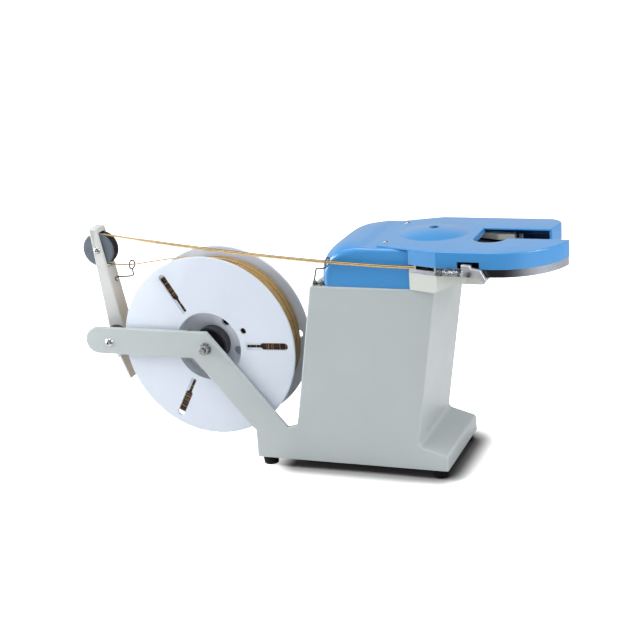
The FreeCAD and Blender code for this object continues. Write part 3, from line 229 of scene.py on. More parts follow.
def finish(name, colour, rough, drift, scale, metal=0.0, rough_drift=0.06, specular=0.5,
           specks=0.0, speck=None, corner_shade=0.0, bevel=0.0, edge=None, edge_highlight=0.0, bands=None,
           brush=None, brush_depth=0.0, peel=0.0, peel_scale=0.0, grain=0.0,
           grain_scale=2600.0, bump_depth=0.0002, coat=0.0, coat_rough=0.12,
           subsurface=0.0):
    """A layered finish, kept in FINISH under its name.

    drift, scale: how far the tone wanders, and the size of its noise
    specks, speck: amount and colour of fine specks     dirt: painted shade, darkening in corners
    bevel: radius (m) of the rounded normals            edge, wear: colour, amount of the painted edge highlight
    brush: how the brushing noise is stretched          peel, grain: bump strengths
    """
    material = bpy.data.materials.new(name)
    graph = Graph(material)
    surface = graph.surface()
    colour = linear(colour)
    tone = graph.ramp(graph.noise(scale=scale, detail=4.0, rough=0.6),
                      [(0.32, scaled(colour, 1 - drift)), (0.68, scaled(colour, 1 + drift))])
    if specks:
        tone = add_specks(graph, tone, specks, speck)
    # Painted shade: the tone darkens where occlusion finds the surface closed in
    if corner_shade:
        openness = graph.occlusion(samples=4, distance=0.006)
        amount = graph.remap(openness, to=(corner_shade, 0.0), span=(0.35, 0.95))
        tone = graph.mix(amount, tone, scaled(colour, 0.35))
    normal = None
    if bevel:
        rounding = graph.add("ShaderNodeBevel", samples=4)
        rounding.inputs["Radius"].default_value = bevel
        normal = rounding.outputs[0]
        # Painted highlight along the rounded edges
        if edge:
            tone = add_painted_edge_highlights(graph, tone, normal, edge, edge_highlight)
    # Painted reflection: dark and light bands multiplied into the tone
    if bands:
        tone = add_painted_reflection_bands(graph, tone, **bands)

    roughness = graph.remap(graph.noise(scale=scale * 3.1, detail=4.0, rough=0.65),
                            to=(max(0.02, rough - rough_drift), min(1.0, rough + rough_drift)))
    strokes = dict(scale=30.0, detail=5.0, rough=0.6, stretch=brush)
    if brush:
        swing = brush_depth * 0.35
        streaks = graph.remap(graph.noise(**strokes), to=(-swing, swing), span=(0.25, 0.75))
        roughness = graph.math("ADD", roughness, streaks, clamp=True)

    if peel:
        normal = graph.bump(graph.noise(scale=peel_scale, detail=2.0, rough=0.5),
                            strength=peel, distance=bump_depth, normal=normal)
    if grain:
        normal = graph.bump(graph.noise(scale=grain_scale, detail=3.0, rough=0.7),
                            strength=grain, distance=bump_depth * 0.5, normal=normal)
    if brush:
        normal = graph.bump(graph.noise(**strokes), strength=brush_depth,
                            distance=0.00006, normal=normal)
    values = {"Base Color": tone, "Roughness": roughness, "Metallic": metal,
              "Specular IOR Level": specular}
    if normal is not None:
        values["Normal"] = normal
    if coat:
        values.update({"Coat Weight": coat, "Coat Roughness": coat_rough})
    if subsurface:
        values.update({"Subsurface Weight": subsurface, "Subsurface Scale": 0.5,
                       "Subsurface Radius": (0.004, 0.004, 0.004)})
    for key, value in values.items():
        graph.feed(surface.inputs[key], value)
    FINISH[name] = material


# Painted reflection: the ground edge of the head plate gets dark and light bands in its colour
# for the parts of the room it mirrors
PLATE_PAINTED_REFLECTION = {"span": (0.155, 0.335),
               "levels": ((0.0, 0.95), (0.33, 0.85), (0.42, 0.16), (0.56, 0.22),
                          (0.72, 0.36), (0.86, 0.8), (1.0, 0.95))}

# Enamels and polymers of the large pieces
finish("pedestal_enamel", (172, 180, 181), rough=0.36, drift=0.035, scale=7.0,
       rough_drift=0.05, peel=0.10, peel_scale=520.0, bevel=0.0009, edge=(214, 219, 218),
       edge_highlight=0.75, coat=0.25, coat_rough=0.2, specks=0.12, speck=(140, 145, 144))
finish("neck_enamel", (196, 200, 194), rough=0.42, drift=0.03, scale=11.0, peel=0.16,
       peel_scale=420.0, bevel=0.0007, edge=(226, 229, 224), edge_highlight=0.6, coat=0.15,
       specks=0.1, speck=(160, 160, 150))
finish("cover_blue_enamel", (56, 137, 200), rough=0.32, drift=0.03, scale=8.0,
       rough_drift=0.05, peel=0.07, peel_scale=480.0, bevel=0.0008, edge=(150, 196, 232),
       edge_highlight=0.6, coat=0.75, coat_rough=0.2, specks=0.05, speck=(60, 120, 176))
finish("dancer_enamel", (200, 202, 200), rough=0.40, drift=0.03, scale=14.0, peel=0.10,
       peel_scale=600.0, bevel=0.0006, edge=(240, 240, 236), edge_highlight=0.6, coat=0.15,
       specks=0.1, speck=(176, 170, 156))
finish("reel_polymer", (203, 211, 222), rough=0.46, drift=0.018, scale=10.0,
       rough_drift=0.05, grain=0.05, grain_scale=1800.0, bevel=0.0006,
       edge=(236, 241, 248), edge_highlight=0.5, subsurface=0.18, specks=0.06, speck=(196, 203, 216))
finish("reel_plug_polymer", (168, 172, 180), rough=0.45, drift=0.05, scale=60.0,
       rough_drift=0.05, grain=0.08, grain_scale=1800.0, bevel=0.0004)
# The core's polymer is lighter than the flanges': painted light on the core, which lies in shade
# between them
finish("reel_core_painted_light", (226, 230, 238), rough=0.42, drift=0.03, scale=26.0,
       rough_drift=0.05, grain=0.05, grain_scale=1800.0, bevel=0.0005,
       edge=(240, 243, 248), edge_highlight=0.5, subsurface=0.12, specks=0.06, speck=(204, 206, 212))
finish("adapter_nylon", (44, 45, 50), rough=0.34, drift=0.15, scale=30.0, grain=0.06,
       bevel=0.0005, edge=(96, 98, 104), edge_highlight=0.5)
finish("foot_rubber", (14, 14, 15), rough=0.7, drift=0.2, scale=60.0, rough_drift=0.1,
       grain=0.35, grain_scale=1500.0, bevel=0.0008, edge=(40, 40, 42), edge_highlight=0.3,
       specular=0.25, specks=0.2, speck=(52, 51, 50))

# Fasteners, head plate, lever and wires
finish("stainless_turned", (196, 197, 198), rough=0.26, metal=1.0, drift=0.06, scale=60.0,
       rough_drift=0.08, bevel=0.0003, edge=(238, 238, 238), edge_highlight=0.5,
       brush=(2.0, 60.0, 60.0), brush_depth=0.15, corner_shade=0.5)
finish("zinc_plate", (186, 186, 182), rough=0.38, metal=1.0, drift=0.09, scale=80.0,
       rough_drift=0.1, bevel=0.0003, edge=(226, 226, 222), edge_highlight=0.5, grain=0.15,
       specks=0.25, speck=(150, 148, 140), corner_shade=0.4)
finish("black_oxide", (34, 34, 37), rough=0.40, metal=0.4, drift=0.2, scale=70.0,
       rough_drift=0.1, grain=0.15, bevel=0.0004, edge=(92, 92, 94), edge_highlight=0.6,
       specks=0.2, speck=(60, 54, 50))
finish("plate_ground", (186, 190, 198), rough=0.2, metal=1.0, drift=0.06, scale=22.0,
       rough_drift=0.07, brush=(1.0, 1.0, 30.0), brush_depth=0.30, bevel=0.0005,
       edge=(236, 238, 242), edge_highlight=0.8, specks=0.15, speck=(146, 148, 152),
       bands=PLATE_PAINTED_REFLECTION)
finish("lever_chrome", (222, 224, 229), rough=0.24, metal=0.6, drift=0.05, scale=70.0,
       peel=0.04, peel_scale=300.0, bevel=0.0005, edge=(246, 247, 250), edge_highlight=0.7,
       corner_shade=0.7, bump_depth=0.0003)
finish("bright_wire", (112, 106, 102), rough=0.30, metal=0.9, drift=0.08, scale=120.0,
       rough_drift=0.08, brush=(6.0, 6.0, 80.0), brush_depth=0.12)
finish("spring_wire", (186, 187, 190), rough=0.24, metal=1.0, drift=0.1, scale=160.0,
       rough_drift=0.1, brush=(80.0, 6.0, 6.0), brush_depth=0.12)
finish("inlet_black", (24, 23, 24), rough=0.42, drift=0.2, scale=60.0, grain=0.12,
       bevel=0.0003, edge=(76, 74, 72), edge_highlight=0.4)
finish("pulley_nylon", (92, 102, 114), rough=0.40, drift=0.06, scale=26.0, grain=0.06,
       bevel=0.0006, edge=(136, 146, 156), edge_highlight=0.35, specks=0.15, speck=(74, 82, 94))

# Ribbon: the free runs, the wound layers, and the pack under them
finish("ribbon_gold", (200, 164, 104), rough=0.34, metal=0.2, drift=0.14, scale=110.0,
       rough_drift=0.12, brush=(8.0, 120.0, 120.0), brush_depth=0.2,
       edge=(250, 226, 176), edge_highlight=0.6, bevel=0.0002, coat=0.3, coat_rough=0.15)
# Lighter finish for a painted highlight on the ribbon's ridges
finish("ribbon_painted_highlight", (252, 232, 188), rough=0.28, metal=0.25, drift=0.08, scale=90.0,
       rough_drift=0.1, brush=(8.0, 120.0, 120.0), brush_depth=0.1, coat=0.4)
finish("ribbon_wound", (200, 158, 94), rough=0.36, metal=0.2, drift=0.14, scale=90.0,
       rough_drift=0.1, brush=(30.0, 30.0, 30.0), brush_depth=0.1)
# Painted highlight on the ridges of the wound layers
finish("ribbon_wound_painted_highlight", (224, 192, 132), rough=0.32, metal=0.2, drift=0.1,
       scale=90.0, rough_drift=0.1)
# Dark finish for painted shade in the ribbon's gaps and under it
finish("ribbon_painted_shade", (70, 48, 28), rough=0.45, metal=0.1, drift=0.2, scale=120.0,
       rough_drift=0.1, grain=0.1)
# Dark finish of the pack: painted shade in the gaps between its turns
finish("ribbon_pack_painted_shade", (62, 34, 22), rough=0.42, metal=0.1, drift=0.45, scale=180.0,
       rough_drift=0.12, grain=0.2)
finish("ribbon_edges", (196, 160, 92), rough=0.36, metal=0.4, drift=0.3, scale=150.0,
       rough_drift=0.12, grain=0.1)

# Drive, needle, electrics and base
finish("sintered_bronze", (178, 138, 82), rough=0.42, metal=1.0, drift=0.12, scale=90.0,
       grain=0.3, specks=0.4, speck=(110, 82, 50))
finish("ground_steel", (176, 177, 180), rough=0.26, metal=1.0, drift=0.06, scale=60.0,
       rough_drift=0.08, brush=(60.0, 60.0, 4.0), brush_depth=0.2, bevel=0.0003,
       edge=(226, 226, 228), edge_highlight=0.5)
finish("cut_gear_steel", (140, 140, 142), rough=0.34, metal=1.0, drift=0.12, scale=90.0,
       rough_drift=0.1, grain=0.2, corner_shade=0.8, bevel=0.0002, edge=(210, 210, 208), edge_highlight=0.6)
finish("turned_aluminium", (208, 209, 211), rough=0.30, metal=1.0, drift=0.05, scale=60.0,
       rough_drift=0.07, brush=(40.0, 40.0, 5.0), brush_depth=0.25, bevel=0.0003,
       edge=(240, 240, 242), edge_highlight=0.5)
finish("belt_rubber", (28, 28, 30), rough=0.66, drift=0.2, scale=90.0, grain=0.5,
       grain_scale=1200.0, specks=0.3, speck=(54, 52, 50))
finish("motor_enamel", (40, 42, 46), rough=0.40, metal=0.1, drift=0.12, scale=24.0,
       peel=0.25, peel_scale=420.0, bevel=0.0007, edge=(110, 112, 116), edge_highlight=0.5, coat=0.2)
finish("needle_enamel", (208, 202, 182), rough=0.44, drift=0.04, scale=30.0, peel=0.16,
       peel_scale=420.0, bevel=0.0008, edge=(236, 232, 218), edge_highlight=0.6, specks=0.2,
       speck=(168, 156, 128))
finish("tool_steel", (150, 154, 158), rough=0.28, metal=1.0, drift=0.08, scale=90.0,
       rough_drift=0.08, brush=(40.0, 6.0, 40.0), brush_depth=0.25, bevel=0.0004,
       edge=(220, 222, 224), edge_highlight=0.6)
finish("black_acetal", (30, 30, 32), rough=0.34, drift=0.12, scale=70.0, grain=0.08,
       bevel=0.0003, edge=(84, 84, 86), edge_highlight=0.4)
finish("switch_phenolic", (48, 34, 28), rough=0.4, drift=0.2, scale=120.0, grain=0.15,
       specks=0.35, speck=(84, 62, 50), bevel=0.0003)
finish("board_mask", (28, 96, 58), rough=0.3, drift=0.15, scale=120.0, rough_drift=0.1,
       specks=0.5, speck=(186, 176, 96), coat=0.3, bevel=0.0002)
finish("rocker_key", (176, 34, 28), rough=0.26, drift=0.1, scale=70.0, rough_drift=0.08,
       coat=0.4, bevel=0.0005, edge=(226, 110, 100), edge_highlight=0.5)
finish("galvanised_sheet", (168, 171, 174), rough=0.38, metal=1.0, drift=0.12, scale=55.0,
       rough_drift=0.12, grain=0.1, bevel=0.0003, specks=0.3, speck=(196, 199, 204))

# The CAD nodes that take each finish
WEARERS = {
    "pedestal_enamel": "pedestal_housing",
    "galvanised_sheet": "base_plate",
    "zinc_plate": "base_plate_screws foot_screws spring_anchor_screw",
    "foot_rubber": "rubber_feet",
    "neck_enamel": "neck_casting",
    "black_oxide": "head_socket_screws motor_screws",
    "plate_ground": "head_plate",
    "inlet_black": "ribbon_inlet_guide power_inlet switch_frame",
    "cover_blue_enamel": "front_cover rear_cover",
    "stainless_turned": "cover_screws axle_washers axle_nut dancer_pivot_screw "
                        "pivot_locknut pulley_axle front_eye_screw rear_eye_screws lever_pin",
    "reel_polymer": "reel_near_flange reel_far_flange",
    "reel_core_painted_light": "reel_core",
    "ribbon_pack_painted_shade": "wound_ribbon",
    "adapter_nylon": "hub_adapter axle_thumb_collar dancer_spacer",
    "black_acetal": "hub_bushes trigger_plunger trigger_guide",
    "ground_steel": "reel_axle main_shaft main_bearings needle_shaft",
    "dancer_enamel": "dancer_arm",
    "spring_wire": "dancer_spring lever_spring",
    "pulley_nylon": "guide_pulley",
    "bright_wire": "front_eye_wire rear_eye_wire",
    "ribbon_gold": "tie_ribbon",
    "lever_chrome": "release_lever",
    "motor_enamel": "drive_motor",
    "turned_aluminium": "motor_pulley driven_pulley",
    "belt_rubber": "drive_belt",
    "cut_gear_steel": "bevel_gear bevel_pinion",
    "tool_steel": "twister_hook cam_disc needle_tip",
    "sintered_bronze": "twister_bearing_block",
    "needle_enamel": "needle_arm",
    "switch_phenolic": "microswitch",
    "board_mask": "control_board",
    "rocker_key": "rocker_button"}
NODE_FINISH = {node: name for name, nodes in WEARERS.items() for node in nodes.split()}
CRISP_NODES = {"front_cover", "neck_casting", "pedestal_housing", "head_plate"}


def soften_group(label, degrees):
    """Nodes that join coincident points and smooth all but the edges above an angle."""
    tree = bpy.data.node_groups.new(label, "GeometryNodeTree")
    for direction in ("INPUT", "OUTPUT"):
        tree.interface.new_socket("Geometry", in_out=direction,
                                  socket_type="NodeSocketGeometry")
    group_in = tree.nodes.new("NodeGroupInput")
    group_out = tree.nodes.new("NodeGroupOutput")
    merge = tree.nodes.new("GeometryNodeMergeByDistance")
    merge.inputs["Distance"].default_value = 0.000004
    smooth = tree.nodes.new("GeometryNodeSetShadeSmooth")
    sharpen = tree.nodes.new("GeometryNodeSetShadeSmooth")
    sharpen.domain = "EDGE"
    sharpen.inputs["Shade Smooth"].default_value = False
    edge_angle = tree.nodes.new("GeometryNodeInputMeshEdgeAngle")
    steep = tree.nodes.new("FunctionNodeCompare")
    steep.data_type = "FLOAT"
    steep.operation = "GREATER_THAN"
    steep.inputs[1].default_value = math.radians(degrees)
    for source, target in ((group_in, merge.inputs[0]), (merge, smooth.inputs[0]),
                           (smooth, sharpen.inputs[0]), (edge_angle, steep.inputs[0]),
                           (steep, sharpen.inputs["Selection"]),
                           (sharpen, group_out.inputs[0])):
        tree.links.new(source.outputs[0], target)
    return tree


def dress_nodes():
    wide = soften_group("soften", degrees=28.0)
    crisp = soften_group("soften_crisp", degrees=11.0)
    for name, node in NODES.items():
        node.data.materials.clear()
        node.data.materials.append(FINISH[NODE_FINISH[name]])
        modifier = node.modifiers.new("soften", "NODES")
        modifier.node_group = crisp if name in CRISP_NODES else wide


dress_nodes()


# ---------------------------------------------------------------------------
# Mesh helpers, all in layout millimetres
# ---------------------------------------------------------------------------
def shade_smooth(bm, sharp):
    """Smooth every face, but keep edges above the angle sharp (degrees) as corners."""
    bmesh.ops.recalc_face_normals(bm, faces=bm.faces)
    for face in bm.faces:
        face.smooth = True
    for edge in bm.edges:
        if len(edge.link_faces) == 2 and edge.calc_face_angle(0.0) > math.radians(sharp):
            edge.smooth = False


def add_object(name, data):
    thing = bpy.data.objects.new(name, data)
    bpy.context.scene.collection.objects.link(thing)
    return thing


def add_mesh(name, verts, faces, finishes, body=None, replaced=None, slot=None,
             sharp=40.0, sides=None):
    """Add a piece; sides gives the finish index of each face in turn, over and over."""
    mesh = bpy.data.meshes.new(name)
    mesh.from_pydata([tuple(place(*vert)) for vert in verts], [], faces)
    mesh.validate()
    mesh.update()
    bm = bmesh.new()
    bm.from_mesh(mesh)
    shade_smooth(bm, sharp)
    bm.to_mesh(mesh)
    bm.free()
    piece = add_object(name, mesh)
    for finish_name in finishes:
        mesh.materials.append(FINISH[finish_name])
    if sides:
        for k, polygon in enumerate(mesh.polygons):
            polygon.material_index = sides[k % len(sides)]
    if body:
        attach(piece, body)
    if replaced:
        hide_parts(replaced)
    return piece


def around(centre, radius, angle, y):
    """A point at an angle (from +X towards +Z) round an axis along Y."""
    return (centre[0] + radius * math.cos(angle), y, centre[1] + radius * math.sin(angle))


def tube_faces(rings, count, closed=True, base=0):
    """Quads between successive rings of count points."""
    faces = []
    for i in range(rings if closed else rings - 1):
        this, following = base + i * count, base + (i + 1) % rings * count
        for j in range(count):
            k = (j + 1) % count
            faces.append((this + j, this + k, following + k, following + j))
    return faces


def add_turned(name, profile, finish_name, body, centre=REEL, segments=128, **options):
    """A closed solid of revolution from a profile of (radius, y) points."""
    verts = [around(centre, radius, 2 * PI * k / segments, y)
             for k in range(segments) for radius, y in profile]
    faces = tube_faces(segments, len(profile))
    return add_mesh(name, verts, faces, (finish_name,), body, **options)


def sweep(path, profile, frames, scales=None):
    """Sweep a closed profile along a path; frames holds two unit vectors per point."""
    count = len(profile)
    verts = []
    for i, (point, (across, out)) in enumerate(zip(path, frames)):
        scale = scales[i] if scales else 1.0
        for a, b in profile:
            verts.append(tuple(point + across * (a * scale) + out * (b * scale)))
    faces = tube_faces(len(path), count, closed=False)
    faces.append(tuple(reversed(range(count))))
    faces.append(tuple((len(path) - 1) * count + j for j in range(count)))
    return verts, faces


def transport(path, up):
    """Frames carried along the path without twisting."""
    frames = []
    up = Vector(up)
    for i in range(len(path)):
        tangent = (path[min(len(path) - 1, i + 1)] - path[max(0, i - 1)]).normalized()
        up = (up - tangent * up.dot(tangent)).normalized()
        frames.append((tangent.cross(up).normalized(), up.copy()))
    return frames


def add_wire(name, path, radius, finish_name, body, replaced, segments, up):
    path = [Vector(point) for point in path]
    profile = [(radius * math.cos(2 * PI * k / segments),
                radius * math.sin(2 * PI * k / segments)) for k in range(segments)]
    verts, faces = sweep(path, profile, transport(path, up))
    return add_mesh(name, verts, faces, (finish_name,), body, replaced, sharp=35.0)


def catmull(points, steps):
    """A smooth curve through the points, with this many steps between each two."""
    points = [Vector(point) for point in points]
    padded = [points[0] * 2 - points[1]] + points + [points[-1] * 2 - points[-2]]
    curve = []
    for p0, p1, p2, p3 in zip(padded, padded[1:], padded[2:], padded[3:]):
        for k in range(steps):
            t = k / steps
            curve.append(0.5 * ((2 * p1) + (p2 - p0) * t
                                + (2 * p0 - 5 * p1 + 4 * p2 - p3) * t * t
                                + (3 * p1 - 3 * p2 + p3 - p0) * t ** 3))
    curve.append(points[-1])
    return curve


# ---------------------------------------------------------------------------
# Wound ribbon
# ---------------------------------------------------------------------------
NEAR_Y, FAR_Y = -60.6, -9.1          # the pack's faces towards and away from the camera
PACK_IN, PACK_OUT = 50.2, 111.0      # its radii


def add_pack():
    """The pack; its near face is stepped in rings that show through the reel's slots."""
    near = [(PACK_IN, NEAR_Y + 0.6)]
    radius = PACK_IN
    while radius < PACK_OUT - 0.5:
        width = 0.9 + 0.9 * rng.random()
        depth = 0.25 + 1.5 * rng.random() ** 2
        near += [(radius + 0.02, NEAR_Y + depth),
                 (min(radius + width, PACK_OUT), NEAR_Y + depth)]
        radius += width
    far = [(PACK_OUT - 3.0 * k, FAR_Y - 0.4 - 0.8 * rng.random()) for k in range(20)]
    profile = near + [(PACK_OUT, NEAR_Y + 1.2)] + far + [(PACK_IN, FAR_Y - 0.6)]
    add_turned("ribbon_pack", profile, "ribbon_pack_painted_shade", "reel",
               replaced="wound_ribbon", sharp=30)


def add_pack_edges():
    """Wavy gold edges that stand between the dark layers of the near face; that dark tone is
    painted shade in the gaps between turns.
    """
    segments = 128
    depth = 1.9
    verts, faces = [], []
    radius = 52.0
    while radius < PACK_OUT - 1.0:
        radius += 2.6 + 7.0 * rng.random() ** 1.3
        width = 0.25 + 0.55 * rng.random()
        if radius + width > PACK_OUT - 0.2:
            break
        faces += tube_faces(segments, 4, base=len(verts))
        start = rng.random() * 2 * PI
        for k in range(segments):
            angle = start + 2 * PI * k / segments
            wave = 0.5 * math.sin(3 * angle + radius) + 0.35 * math.sin(7 * angle + 2 * radius)
            inner, outer = radius + wave, radius + width + wave
            y = NEAR_Y + 0.12 + 0.1 * math.sin(5 * angle + radius)
            for ring, ring_y in ((inner, y), (outer, y), (outer, y + depth), (inner, y + depth)):
                verts.append(around(REEL, ring, angle, ring_y))
    add_mesh("ribbon_pack_edges", verts, faces, ("ribbon_edges",), "reel",
             slot="ribbon_gold", sharp=30)


# Ribbon with one ridge in its middle: (across, out)
FLAT_SECTION = [
    (-2.15, -0.16), (-2.15, 0.16), (-0.75, 0.2), (-0.35, 0.42), (0.35, 0.42),
    (0.75, 0.2), (2.15, 0.16), (2.15, -0.16), (0.5, -0.2), (-0.5, -0.2)]
# Finish index of each side of the section: 0 wound, 1 ridge with a painted highlight, 2 gap with
# painted shade
WOUND_SIDES = (2, 0, 2, 1, 2, 0, 2, 2, 2, 2)


def add_helix_layer(name, radius, pitch, phase, direction, start_y, end_y):
    """One top layer of ribbon, traversed across the pack with a slight wander."""
    path, frames = [], []
    turns = (end_y - start_y - 5.0) / pitch
    steps = int(turns * 84)
    for k in range(steps + 1):
        t = k / steps
        angle = direction * 2 * PI * turns * t + phase
        y = start_y + 2.6 + (end_y - start_y - 5.2) * t
        y += 0.55 * math.sin(angle * 0.37 + phase)
        lifted = radius + 0.12 * math.sin(angle * 0.61 + phase * 3)
        path.append(Vector(around(REEL, lifted, angle, y)))
        frames.append((Vector((0, 1, 0)), Vector((math.cos(angle), 0, math.sin(angle)))))
    verts, faces = sweep(path, FLAT_SECTION, frames)
    add_mesh(name, verts, faces, ("ribbon_wound", "ribbon_wound_painted_highlight", "ribbon_painted_shade"),
             "reel", slot="ribbon_gold", sides=WOUND_SIDES)


add_pack()
add_pack_edges()
add_helix_layer("ribbon_layer_1", radius=111.15, pitch=5.3, phase=0.4, direction=1,
                start_y=NEAR_Y, end_y=FAR_Y)
add_helix_layer("ribbon_layer_2", radius=111.75, pitch=5.0, phase=2.4, direction=-1,
                start_y=NEAR_Y + 19.0, end_y=FAR_Y)

# ---------------------------------------------------------------------------
# Ribbon runs: reel to dancer pulley, then pulley through the rear eye
# ---------------------------------------------------------------------------
PULLEY_Y = -35.0                     # ribbon on the pulley
PULLEY_WRAP = 20.5                   # its radius there
ACROSS = (0, 1, 0)

# Ribbon with two ridges: (across, out)
RIDGED_SECTION = [
    (-2.2, -0.15), (-2.2, 0.15), (-1.5, 0.17), (-1.1, 0.46), (-0.7, 0.46), (-0.3, 0.2),
    (0.3, 0.2), (0.7, 0.46), (1.1, 0.46), (1.5, 0.17), (2.2, 0.15), (2.2, -0.15),
    (1.0, -0.3), (-1.0, -0.3)]
# Finish index of each side of the section: 0 gold, 1 ridge with a painted highlight, 2 gap with
# painted shade
RIDGED_SIDES = (0, 0, 0, 1, 0, 2, 0, 1, 0, 2, 0, 2, 2, 0)

# Free part of the lower run, x, y, z
LOWER_FREE = [
    (-232.0, -25.6, 276.6), (-262.0, -28.0, 273.6), (-292.0, -31.0, 269.2),
    (-317.0, -33.0, 265.6), (-345.0, -34.4, 265.7)]
# Upper run beyond the rear eye, x, y, z
UPPER_END = [
    (14.0, -78.9, 290.1), (40.0, -79.4, 289.2), (66.0, -80.0, 288.4),
    (88.0, -79.2, 287.8), (104.0, -77.6, 287.4)]


def add_ribbon(name, route, steps, section, finishes=("ribbon_gold",),
               replaced=None, sides=None, taper=None):
    """A free ribbon along a route of (point, direction of its width) pairs.
    """
    points, widths = zip(*route)
    path = catmull(points, steps)
    last = len(path) - 1
    frames = []
    for i, width in enumerate(catmull(widths, steps)):
        tangent = (path[min(i + 1, last)] - path[max(i - 1, 0)]).normalized()
        across = (width - tangent * width.dot(tangent)).normalized()
        frames.append((across, tangent.cross(across)))
    scales = [taper(i / last) for i in range(last + 1)] if taper else None
    verts, faces = sweep(path, section, frames, scales)
    ribbon = add_mesh(name, verts, faces, finishes, None, replaced, slot="ribbon_gold",
                      sides=sides)
    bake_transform(ribbon)


def lower_route():
    """Off the top of the reel, then round the pulley from below."""
    route = [(around(REEL, 112.9, math.radians(degrees), -25.0), ACROSS)
             for degrees in (72.0, 78.0, 84.0, 90.0, 95.0)]
    route += [(point, (0, 1, 0.12)) for point in LOWER_FREE]
    for k in range(11):
        angle = math.radians(-84.0 - 172.0 * k / 10)
        route.append((around(PULLEY, PULLEY_WRAP, angle, PULLEY_Y), ACROSS))
    return route


def upper_route():
    """Over the pulley, to the rear eye with a sag, and past it on edge."""
    route = [(around(PULLEY, PULLEY_WRAP + 0.35, math.radians(degrees), PULLEY_Y), ACROSS)
             for degrees in (104.0, 98.0, 92.0, 86.0)]
    leave = Vector((PULLEY[0] + 2.4, PULLEY_Y, PULLEY[1] + PULLEY_WRAP + 0.25))
    sag = 3.0
    steps = 26
    for k in range(1, steps + 1):
        u = k / steps
        point = leave.lerp(REAR_EYE, u) + Vector((0, 0, -sag * 4 * u * (1 - u)))
        # A quarter turn over the first 42 %, with a wobble that dies out
        turned = min(1.0, u / 0.42)
        roll = PI / 2 * turned * turned * (3 - 2 * turned) + 0.22 * math.sin(26 * u) * (1 - u)
        route.append((point, (0, math.cos(roll), math.sin(roll))))
    return route + [(point, (0, 0.1, 1)) for point in UPPER_END]


add_ribbon("ribbon_lower_run", lower_route(), steps=6, section=FLAT_SECTION,
           replaced="tie_ribbon")
add_ribbon("ribbon_upper_run", upper_route(), steps=8, section=RIDGED_SECTION,
           finishes=("ribbon_gold", "ribbon_painted_highlight", "ribbon_painted_shade"), sides=RIDGED_SIDES,
           taper=lambda u: 0.80 + 0.20 * min(1.0, u / 0.5))

# ---------------------------------------------------------------------------
# Guide pulley: two discs with a grooved ring between them, (radius, y)
# ---------------------------------------------------------------------------
NEAR_DISC = [
    (3.1, -43.6), (7.2, -43.6), (7.6, -43.0), (8.4, -43.0), (8.8, -43.5), (20.6, -43.6),
    (22.2, -43.5), (22.9, -43.1), (23.2, -42.4), (23.2, -41.6), (22.6, -40.9), (3.1, -40.9)]
GROOVE_RING = [
    (3.1, -40.88), (22.7, -40.88), (23.1, -40.5), (23.0, -39.9), (20.9, -38.6),
    (20.0, -37.8), (20.0, -32.2), (20.9, -31.4), (23.0, -30.1), (23.1, -29.5),
    (22.7, -29.12), (3.1, -29.12)]
FAR_DISC = [
    (3.1, -29.1), (22.6, -29.1), (23.2, -28.4), (23.2, -27.6), (22.9, -26.9),
    (22.2, -26.5), (8.0, -26.4), (3.1, -26.4)]

add_turned("guide_pulley_near_disc", NEAR_DISC, "pulley_nylon", "pulley",
           centre=PULLEY, segments=96, replaced="guide_pulley")
for name, profile in (("guide_pulley_groove_ring", GROOVE_RING),
                      ("guide_pulley_far_disc", FAR_DISC)):
    add_turned(name, profile, "black_acetal", "pulley", centre=PULLEY, segments=96,
               slot="pulley_plastic")

# ---------------------------------------------------------------------------
# Wire eyes, each bent from one length of round wire with an open turn at the end
# ---------------------------------------------------------------------------
EYE_WIRE = dict(radius=0.98, finish_name="bright_wire", segments=12)
EYE_TURN = dict(steps=30, start=-0.94 * PI, end=0.9 * PI, rise=0.6)


def turn(centre, axis, radius, steps, start, end, rise=0.0, zero=(0, 0, 1)):
    """An arc about an axis, from the direction zero, rising along the axis."""
    axis = Vector(axis).normalized()
    across = (Vector(zero) - axis * Vector(zero).dot(axis)).normalized()
    along = axis.cross(across)
    points = []
    for k in range(steps + 1):
        angle = start + (end - start) * k / steps
        points.append(Vector(centre) + across * (radius * math.cos(angle))
                      + along * (radius * math.sin(angle)) + axis * (rise * k / steps))
    return points


def add_front_eye():
    """The eye on the dancer; its foot turn lies against a sloping line of the arm."""
    top_x, top_z = -357.8, 318.7
    low_x, low_z = -331.0, 176.0
    line_normal = (0.9828, 0, 0.1846)
    foot_z = 244.0
    foot_x = top_x + (foot_z - top_z) * (low_x - top_x) / (low_z - top_z)
    foot = Vector((foot_x, -33.0, foot_z)) + Vector(line_normal) * 0.95
    path = turn(foot, line_normal, radius=2.5, steps=22, start=0.15, end=2 * PI - 0.5,
                rise=0.25)
    path += catmull([
        path[-1] + Vector((0.8, 0.2, 0.9)), (foot.x + 4.0, -33.3, 247.6),
        (-326.0, -33.0, 248.4), (-318.4, -33.0, 249.6), (-316.3, -33.0, 251.2),
        (-316.4, -33.0, 255.0), (-316.9, -33.2, 258.6)], steps=5)
    path += turn((-317.0, -33.0, 265.5), (1, -0.22, 0), radius=5.9, **EYE_TURN)
    add_wire("front_wire_eye", path, body="dancer", replaced="front_eye_wire",
             up=(0.2, 1, 0.1), **EYE_WIRE)


